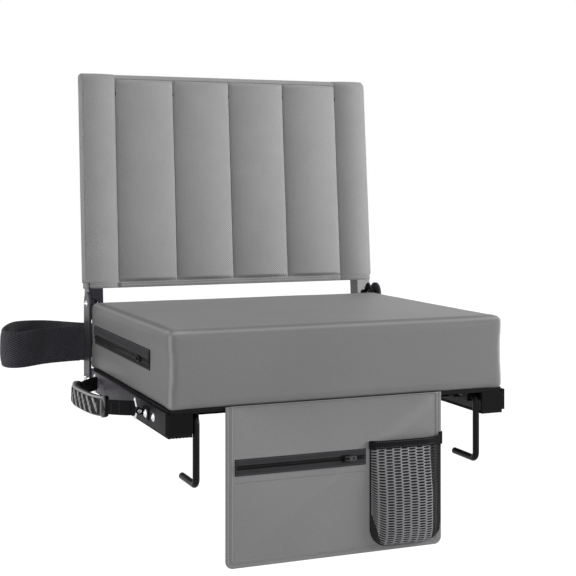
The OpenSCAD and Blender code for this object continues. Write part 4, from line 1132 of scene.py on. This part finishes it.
def pocket_plan(inset):
    """Plan of the pocket, drawn in by inset."""
    width = POCKET_X1 - POCKET_X0 - 2 * inset
    shape = [PLAN_SHAPE[0]] + list(PLAN_SHAPE) + [PLAN_SHAPE[-1]]
    points = []
    for u, v, _ in spline([(u, v, 0.0) for u, v in shape], 6):
        points.append((POCKET_X0 + inset + width * u, FRONT_Y - max(0.0, v * (POCKET_DEPTH - inset))))
    return points


def circle_rise(over):
    """Height of a quarter circle's edge above its lowest point, over being the share of its radius gone."""
    return 1 - math.sqrt(max(0.0, 1 - over * over))


def pocket_point(s, t, plan):
    """Point of the net at share s of its width and share t of its drop."""
    place = s * (len(plan) - 1)
    i = min(int(place), len(plan) - 2)
    f = place - i
    x = plan[i][0] + (plan[i + 1][0] - plan[i][0]) * f
    y = plan[i][1] + (plan[i + 1][1] - plan[i][1]) * f
    top = POCKET_Z1 - POCKET_BAND + 1.0
    over = max(0.0, abs(x - POCKET_MID) - (POCKET_HALF - POCKET_CORNER)) / POCKET_CORNER
    foot = POCKET_Z0 + POCKET_CORNER * circle_rise(over) * min(1.0, 0.35 + t)
    drop = t * 0.85 + 0.15 * math.sin(t * math.pi / 2)
    z = top + (foot - top) * drop
    closing = 1 - circle_rise(max(0.0, t - CLOSING_START) / (1 - CLOSING_START))
    belly = BAND_SHARE + (1 - BAND_SHARE) * ease(t / BELLY_END)
    ripple = NET_RIPPLE * waver(x, 1.0, z, 20) * math.sin(math.pi * s)
    return (x, FRONT_Y - (FRONT_Y - y) * closing * belly - 0.9 + ripple * closing, z)


def net_cell(s0, t0, du, dv):
    """Border and hole of one cell, each with the same number of points."""
    sm, tm = s0 + du / 2, t0 + dv / 2
    wide, high = HOLE_WIDE * du, HOLE_HIGH * dv
    steps = (0.0, 1 / 6, 1 / 3, 0.5, 2 / 3, 5 / 6, 1.0)
    border = [(s0, tm)] + [(s0 + du * f, t0 + dv) for f in steps] + [(s0 + du, tm)]
    border += [(s0 + du * f, t0) for f in reversed(steps)]
    lens = [(f, 1 - abs(f) ** LENS_POWER) for f in (-0.96, -0.72, -0.4, 0.0, 0.4, 0.72, 0.96)]
    hole = [(sm - wide, tm)] + [(sm + wide * f, tm + high * k) for f, k in lens] + [(sm + wide, tm)]
    hole += [(sm + wide * f, tm - high * k) for f, k in reversed(lens)]
    return border, hole


def build_net():
    plan = resample(pocket_plan(0.4), 0.8)
    verts = []
    faces = []
    uvs = []
    keys = {}
    column = []

    def vertex(s, t):
        key = (round(s, 5), round(t, 5))
        if key not in keys:
            keys[key] = len(verts)
            verts.append(pocket_point(min(1, max(0, s)), min(1, max(0, t)), plan))
            uvs.append((s * NET_CUT[0] / MM, t * NET_CUT[1] / MM))
        return keys[key]

    du = 1 / NET_COLS
    dv = 1 / NET_ROWS
    for c in range(NET_COLS):
        shift = 0.5 * dv if c % 2 else 0.0
        for r in range(NET_ROWS):
            t0 = r * dv + shift
            if t0 + dv > 1 + 1e-6:
                continue
            border, hole = net_cell(c * du, t0, du, dv)
            a = [vertex(*q) for q in border]
            b = [vertex(*q) for q in hole]
            for i in range(CELL_POINTS):
                k = (i + 1) % CELL_POINTS
                faces.append((a[i], a[k], b[k], b[i]))
                column.append(c)
    net = make("pocket_net", verts, faces, "pocket_mesh", uvs)
    net.data.materials.append(M["pocket_shade_cloth"])
    for polygon, c in zip(net.data.polygons, column):
        x, _, z = polygon.center / MM
        # Painted shade: cells in the last columns and below this leaning line take the dark cloth
        shaded_x = POCKET_X0 + 2.0 + SHADED_SLOPE * (POCKET_Z0 + SHADED_TOP - z)
        polygon.material_index = 1 if c >= NET_COLS - SHADED_COLS or x < shaded_x else 0
    modify(net, ("SOLIDIFY", {"thickness": NET_THICK * MM, "offset": 0}))
    give(net, "flap", "pocket_mesh", "mesh_pocket")


# A dark sheet behind the net, painted shade for the inside of the pocket
def build_shade_sheet():
    grid = []
    corner = 1 - np.cos(np.linspace(0.12, math.pi / 2, 14))
    heights = np.concatenate([POCKET_Z0 + 1.2 + POCKET_CORNER * corner,
                              np.linspace(POCKET_Z0 + POCKET_CORNER + 6, POCKET_Z1 - 5, 20)])
    for z in heights:
        up = max(0.0, POCKET_CORNER - (z - POCKET_Z0 - 1.0))
        wide = POCKET_HALF - 1.0 - POCKET_CORNER + math.sqrt(max(0.0, POCKET_CORNER ** 2 - up ** 2))
        xs = np.linspace(POCKET_MID - wide, POCKET_MID + wide, 13)
        grid.append([((x, FRONT_Y - 0.62, z), (x, FRONT_Y - 0.3, z), (x, z)) for x in xs])
    shade_sheet = sheet_solid("pocket_shade_sheet", grid, "pocket_shade_cloth")
    give(shade_sheet, "flap", "pocket_mesh")


def at_band(out, drop):
    """Line along the elastic band, out from its middle and a drop below its top."""
    return [(x, FRONT_Y + (y - FRONT_Y) * BAND_SHARE - out, POCKET_Z1 - drop) for x, y in pocket_plan(1.1)]


def pocket_border():
    """Path of the binding: down the left side, round the foot and up the right side."""
    y = FRONT_Y - 0.6
    drop = POCKET_Z1 - POCKET_BAND - POCKET_Z0 - POCKET_CORNER
    path = [(POCKET_X0 + 0.4, y, POCKET_Z1 - POCKET_BAND - drop * i / 24) for i in range(25)]
    corner = arc(POCKET_X0 + POCKET_CORNER, POCKET_Z0 + POCKET_CORNER, POCKET_CORNER - 0.4, 180, 90, 12)
    path += [(x, y, z) for x, z in corner[1:]]
    return resample(path + [(2 * POCKET_MID - x, y, z) for x, y, z in path[::-1]], 1.6)


def pocket_trim():
    start = [(POCKET_X0 - 1.9, FRONT_Y - 1.1, POCKET_Z1 - POCKET_BAND / 2)]
    band = resample(start + at_band(1.1, POCKET_BAND / 2), 1.2)
    webbing("pocket_elastic", band, UP, POCKET_BAND, 2.1, "flap", "pocket_top_band")
    border = pocket_border()
    webbing("pocket_binding", border, FRONT, 1.9, 2.6, "flap", edge=0.8)
    low = [(x, y - 0.7, z + 1.2) for x, y, z in border if z < POCKET_Z0 + 14 and x > POCKET_X0 + 12]
    webbing("pocket_foot_binding", low, FRONT, 2.6, 4.2, "flap", edge=1.0)
    lines = [([(x, FRONT_Y - 1.62, z) for x, y, z in border], FRONT)]
    for drop in (1.6, POCKET_BAND - 1.6):
        lines.append((at_band(2.25, drop)[10:-10], FRONT))
    stitching("pocket_stitching", lines, "dark_thread", (3.0, 2.1, 0.24), "flap", "black_webbing")
    tab = resample([(FLAP_X1 + x, y, z) for x, y, z in TAB_PATH], 0.8)
    webbing("pocket_band_tab", tab, UP, 15.0, 0.9, "flap")


build_net()
build_shade_sheet()
pocket_trim()


# Shoulder strap: webbing on edge in a loop behind the left bracket, with a wide pad on the loop

STRAP_Z = 60.5
STRAP_W = 40.0
STRAP_T = 2.4
STRAP_X = 216.8
STRAP_STEP = 2.2
LOOP_REACH = 115.0
LOOP_DEPTH = 97.0
RUN_Y = 210.5


def loop_point(out, back):
    return (-(HALF_W + out * LOOP_REACH), RUN_Y + back * LOOP_DEPTH)


STRAP_ROUTE = [
    (-STRAP_X, 178.5), (-STRAP_X, 183.5), (-STRAP_X, 198.5), (-STRAP_X, 204.5),
    (-STRAP_X - 0.1 * LOOP_REACH, RUN_Y + 0.03 * LOOP_DEPTH),
    loop_point(0.5, -0.08), loop_point(0.82, -0.33), loop_point(0.98, -0.28), loop_point(1, 0.05),
    loop_point(0.84, 0.68), loop_point(0.66, 1), loop_point(0.35, 0.96), loop_point(0, 0.47),
    loop_point(-0.34, 0.1), loop_point(-0.76, 0.01), (0, RUN_Y + 1), (HALF_W - 60, RUN_Y + 1),
    (HALF_W - 18, RUN_Y + 1), (STRAP_X - 3.5, RUN_Y - 1), (STRAP_X - 0.6, 203.5),
    (STRAP_X - 0.1, 198.5), (STRAP_X - 0.1, 183.5), (STRAP_X - 0.1, 178.5),
]
ROUTE_STEPS = 12
# First and last place of the pad along the route, counted in its points
PAD_FIRST = 2.35
PAD_LAST = 12.0
PAD_HALF = 24.0
PAD_END = 5
# Half of the pad's section as (share of its width, distance out), the other half being its mirror image
PAD_SHAPE = ((0.0, 0.6), (0.015, 1.35), (0.04, 1.6), (0.055, 1.2), (0.075, 1.5), (0.11, 2.2), (0.18, 2.9),
             (0.32, 3.35), (0.5, 3.45))


def pad_section():
    """Section of the strap's pad across its whole width."""
    mirrored = [(1 - t, o) for t, o in reversed(PAD_SHAPE[:-1])]
    return list(PAD_SHAPE) + mirrored


def build_strap():
    line = [(x, y, STRAP_Z) for x, y in spline(STRAP_ROUTE, ROUTE_STEPS)]
    path = resample(line, STRAP_STEP)
    webbing("strap_webbing", path, UP, STRAP_W, STRAP_T - 0.3, "seat", "shoulder_strap", rib=0.15)
    path = resample(line[int(PAD_FIRST * ROUTE_STEPS) : int(PAD_LAST * ROUTE_STEPS) + 1], STRAP_STEP)
    out = outward_of(path, UP)
    count = len(path)
    length = lengths(path)
    shape = pad_section()
    rings = []
    uvs = []
    for i in range(count):
        close = min(1.0, min(i, count - 1 - i) / PAD_END + 0.35)
        pinch = 1.0 if close >= 1 else 0.97
        ring = []
        for side in (1, -1):
            for t, o in shape[::side]:
                z = -PAD_HALF + 2 * PAD_HALF * t
                wave = 0.25 * waver(length[i], z, 4.0 * side, 16) if 0.2 < t < 0.8 else 0.0
                ring.append(tuple(path[i] + np.array((0, 0, z * pinch)) + out[i] * side * (o + wave) * close))
                uvs.append((z + (0 if side > 0 else 60), length[i]))
        rings.append(ring)
    pad = tube("strap_pad", rings, "strap_cloth", uvs)
    give(pad, "seat", "strap_cloth", "shoulder_pad")
    lines = []
    inner = slice(PAD_END - 1, count - PAD_END + 1)
    for side in (1, -1):
        for z in (-PAD_HALF + 2.6, PAD_HALF - 2.6):
            lines.append((path[inner] + np.array((0, 0, z)) + out[inner] * side * 1.55, out[inner] * side))
    stitching("strap_stitching", lines, "dark_thread", (4.0, 2.8, 0.42), "seat", "strap_cloth")


build_strap()


# Carry handle: webbing that wraps the rings and a moulded grip with finger ribs

HANDLE_X = -225.0
HANDLE_Y = 23.5
HANDLE_Z = 18.5
BOW = 38.0
BOW_HALF = 97.0
BOW_POWER = 3.2
BOW_SKEW = 7.0
BOW_SAG = 3.0
BOW_R = (BOW_HALF ** 2 + BOW ** 2) / (2 * BOW)
BOW_END = math.degrees(math.asin(BOW_HALF / BOW_R))
GRIP_LEN = 130.0
GRIP_END = GRIP_LEN / BOW_R * 90 / math.pi
GRIP_SECTIONS = 220
GRIP_POINTS = 56
EYE_R = 2.15
BELT_W = 17.6
BELT_T = 1.3
BELT_GAP = 1.75
GRIP_DEPTH = 5.5
GRIP_TALL = 12.0
FLARE = 1.1
FLARE_SPAN = 3.2
RIB_SPAN = 3.8
RIB_DEPTH = 1.7
RIB_SINK = 1.1
# The ribs end this far from the grip's middle height and start this far from its ends
RIB_REACH = 10.3
RIB_START = 9.0
# Share of the painted highlight on the grip's lower edge and its end flanges, and the strength of all its
# painted highlights
LOW_SHINE = 0.55
SHINE = 0.75


def bow(angle, radius=0.0, z=0.0):
    """Point of the handle's curve, which is straighter along the grip than an arc."""
    reach = BOW_R * math.sin(math.radians(angle))
    u = max(-1.0, min(1.0, reach / BOW_HALF))
    x = -BOW * (1 - abs(u) ** BOW_POWER) - BOW_SKEW * u * (1 - u * u)
    slope = BOW * BOW_POWER * abs(u) ** (BOW_POWER - 1) * math.copysign(1, u) - BOW_SKEW * (1 - 3 * u * u)
    side = slope / BOW_HALF
    size = math.hypot(1.0, side)
    sag = BOW_SAG * (1 - abs(u) ** 3)
    return (HANDLE_X + x - radius / size, HANDLE_Y + reach + radius * side / size, HANDLE_Z + z - sag)


def build_belt():
    under = np.arange(GRIP_END + 2.0, BOW_END - 1.0, 0.7)
    turn = [(x, y, HANDLE_Z) for x, y in arc(HANDLE_X, HANDLE_Y + BOW_HALF, EYE_R, BOW_END - 60, 300, 12)]
    path = [bow(a, -BELT_GAP) for a in under] + turn
    path += [bow(a) for a in np.arange(BOW_END - 1.1, -(BOW_END - 1.0), -0.9)]
    path += [(x, 2 * HANDLE_Y - y, z) for x, y, z in turn[::-1]]
    path += [bow(-a, -BELT_GAP) for a in under[::-1]]
    path = resample(path, 0.9)
    webbing("handle_strap", path, UP, BELT_W, BELT_T, "carry_handle", "handle_webbing", rib=0.1)
    lines = []
    for sign in (-1, 1):
        for a in (GRIP_END + 4.0, GRIP_END + 9.0):
            x, y, z = bow(sign * a, 0.78)
            lines.append(([(x, y, z - 6.5), (x, y, z + 6.5)], (-1.0, 0.3 * sign, 0.0)))
    stitching("handle_stitching", lines, "dark_thread", (2.6, 1.9, 0.26), "carry_handle", "black_webbing")


def build_grip():
    rings = []
    uvs = []
    shines = []
    for i in range(GRIP_SECTIONS + 1):
        t = i / GRIP_SECTIONS
        a = -GRIP_END + 2 * GRIP_END * t
        end = min(t, 1 - t) * GRIP_LEN
        flare = FLARE * math.exp(-((end / FLARE_SPAN) ** 2))
        closing = 1 - 0.5 * max(0.0, 1 - end / 0.8)
        ring = []
        for j in range(GRIP_POINTS):
            w = 2 * math.pi * j / GRIP_POINTS
            c, s = math.cos(w), math.sin(w)
            o = 0.5 + math.copysign(abs(c) ** 0.5, c) * (GRIP_DEPTH + flare) * closing
            z = math.copysign(abs(s) ** 0.42, s) * (GRIP_TALL + flare) * closing
            # Painted highlight on the grip's top and bottom faces, on its ribs and on its end flanges
            shine = ease((abs(s) - 0.55) / 0.3) * ease((c + 0.1) / 0.5) * (1.0 if s > 0 else LOW_SHINE)
            if c > 0.1:
                phase = (a / GRIP_END * RIB_SPAN - z / (2 * GRIP_TALL) + 0.25) % 1.0
                ribs = max(0.0, math.sin(math.pi * phase / 0.5)) ** 0.6 if phase < 0.5 else 0.0
                inside = ease((RIB_REACH - abs(z)) / 1.4) * ease((end - RIB_START) / 2.0)
                inside *= ease((c - 0.1) / 0.3)
                o += (RIB_DEPTH * ribs - RIB_SINK) * inside
                lip = LOW_SHINE * math.exp(-(((end - 1.5) / 1.2) ** 2))
                shine = max(shine * (1 - inside), ribs ** 5 * inside, lip)
            shines.append(SHINE * shine)
            ring.append(bow(a, o, z))
            uvs.append((j, t * GRIP_LEN))
        rings.append(ring)
    grip = tube("moulded_grip", rings, "grip_plastic", uvs)
    set_painted_highlight(grip, shines)
    give(grip, "carry_handle", "grip_plastic", "handle_grip")


build_belt()
build_grip()


# Floor, world and lights, in metres and watts

FLOOR_Z = -0.152
FLOOR_HALF = 12.0
FLOOR_GLOW = 1.28
FLOOR_SHARE = 0.74
WORLD_LIGHT = 0.34
AIM = (0, 0, 0.15)
WHITE = (1, 1, 1, 1)


def by_ray(tree, target, hidden, shown, rays, share=1.0):
    """Shader that gives shown to the named kinds of ray, to the given share, and hidden to all others."""
    path = tree.nodes.new("ShaderNodeLightPath")
    seen = path.outputs[rays[0]]
    for ray in rays[1:]:
        either = tree.nodes.new("ShaderNodeMath")
        either.operation = "MAXIMUM"
        tree.links.new(seen, either.inputs[0])
        tree.links.new(path.outputs[ray], either.inputs[1])
        seen = either.outputs[0]
    part = tree.nodes.new("ShaderNodeMath")
    part.operation = "MULTIPLY"
    part.inputs[1].default_value = share
    tree.links.new(seen, part.inputs[0])
    mix = tree.nodes.new("ShaderNodeMixShader")
    tree.links.new(part.outputs[0], mix.inputs[0])
    tree.links.new(hidden.outputs[0], mix.inputs[1])
    tree.links.new(shown.outputs[0], mix.inputs[2])
    tree.links.new(mix.outputs[0], tree.nodes.new(target).inputs["Surface"])


def shader(tree, kind, colour, strength=None):
    node = tree.nodes.new(kind)
    node.inputs["Color"].default_value = colour
    if strength is not None:
        node.inputs["Strength"].default_value = strength
    return node


def build_floor():
    mesh = bpy.data.meshes.new("floor")
    corners = [(sx * FLOOR_HALF, sy * FLOOR_HALF, FLOOR_Z) for sx, sy in ((-1, -1), (1, -1), (1, 1), (-1, 1))]
    mesh.from_pydata(corners, [], [(0, 1, 2, 3)])
    floor = bpy.data.objects.new("floor", mesh)
    scene.collection.objects.link(floor)
    material = bpy.data.materials.new("floor")
    material.use_nodes = True
    tree = material.node_tree
    tree.nodes.clear()
    paint = shader(tree, "ShaderNodeBsdfDiffuse", srgb(236))
    glow = shader(tree, "ShaderNodeEmission", WHITE, FLOOR_GLOW)
    by_ray(tree, "ShaderNodeOutputMaterial", paint, glow, ("Is Camera Ray", "Is Glossy Ray"), FLOOR_SHARE)
    mesh.materials.append(material)


def build_world():
    world = bpy.data.worlds.new("studio")
    scene.world = world
    world.use_nodes = True
    tree = world.node_tree
    tree.nodes.clear()
    light = shader(tree, "ShaderNodeBackground", WHITE, WORLD_LIGHT)
    shown = shader(tree, "ShaderNodeBackground", WHITE)
    rays = ("Is Camera Ray", "Is Glossy Ray", "Is Transmission Ray")
    by_ray(tree, "ShaderNodeOutputWorld", light, shown, rays)


def lamp(name, place, power, size, aim=AIM):
    data = bpy.data.lights.new(name, "AREA")
    data.shape = "DISK"
    data.size = size
    data.energy = power
    obj = bpy.data.objects.new(name, data)
    scene.collection.objects.link(obj)
    obj.location = place
    obj.rotation_euler = (Vector(aim) - Vector(place)).to_track_quat("-Z", "Y").to_euler()


build_floor()
build_world()
lamp("key", (2.95, -1.05, 0.95), 98, 1.2)
lamp("fill", (-2.2, -2.2, 0.6), 20, 1.8)
lamp("side", (-2.9, 0.9, 0.5), 22, 1.6)
lamp("top", (0.2, 0.2, 2.8), 5, 1.8)
lamp("strip", (1.55, -2.6, 0.38), 13, 0.5, (0.2, 0.19, 0.13))
scene.view_settings.view_transform = "Standard"
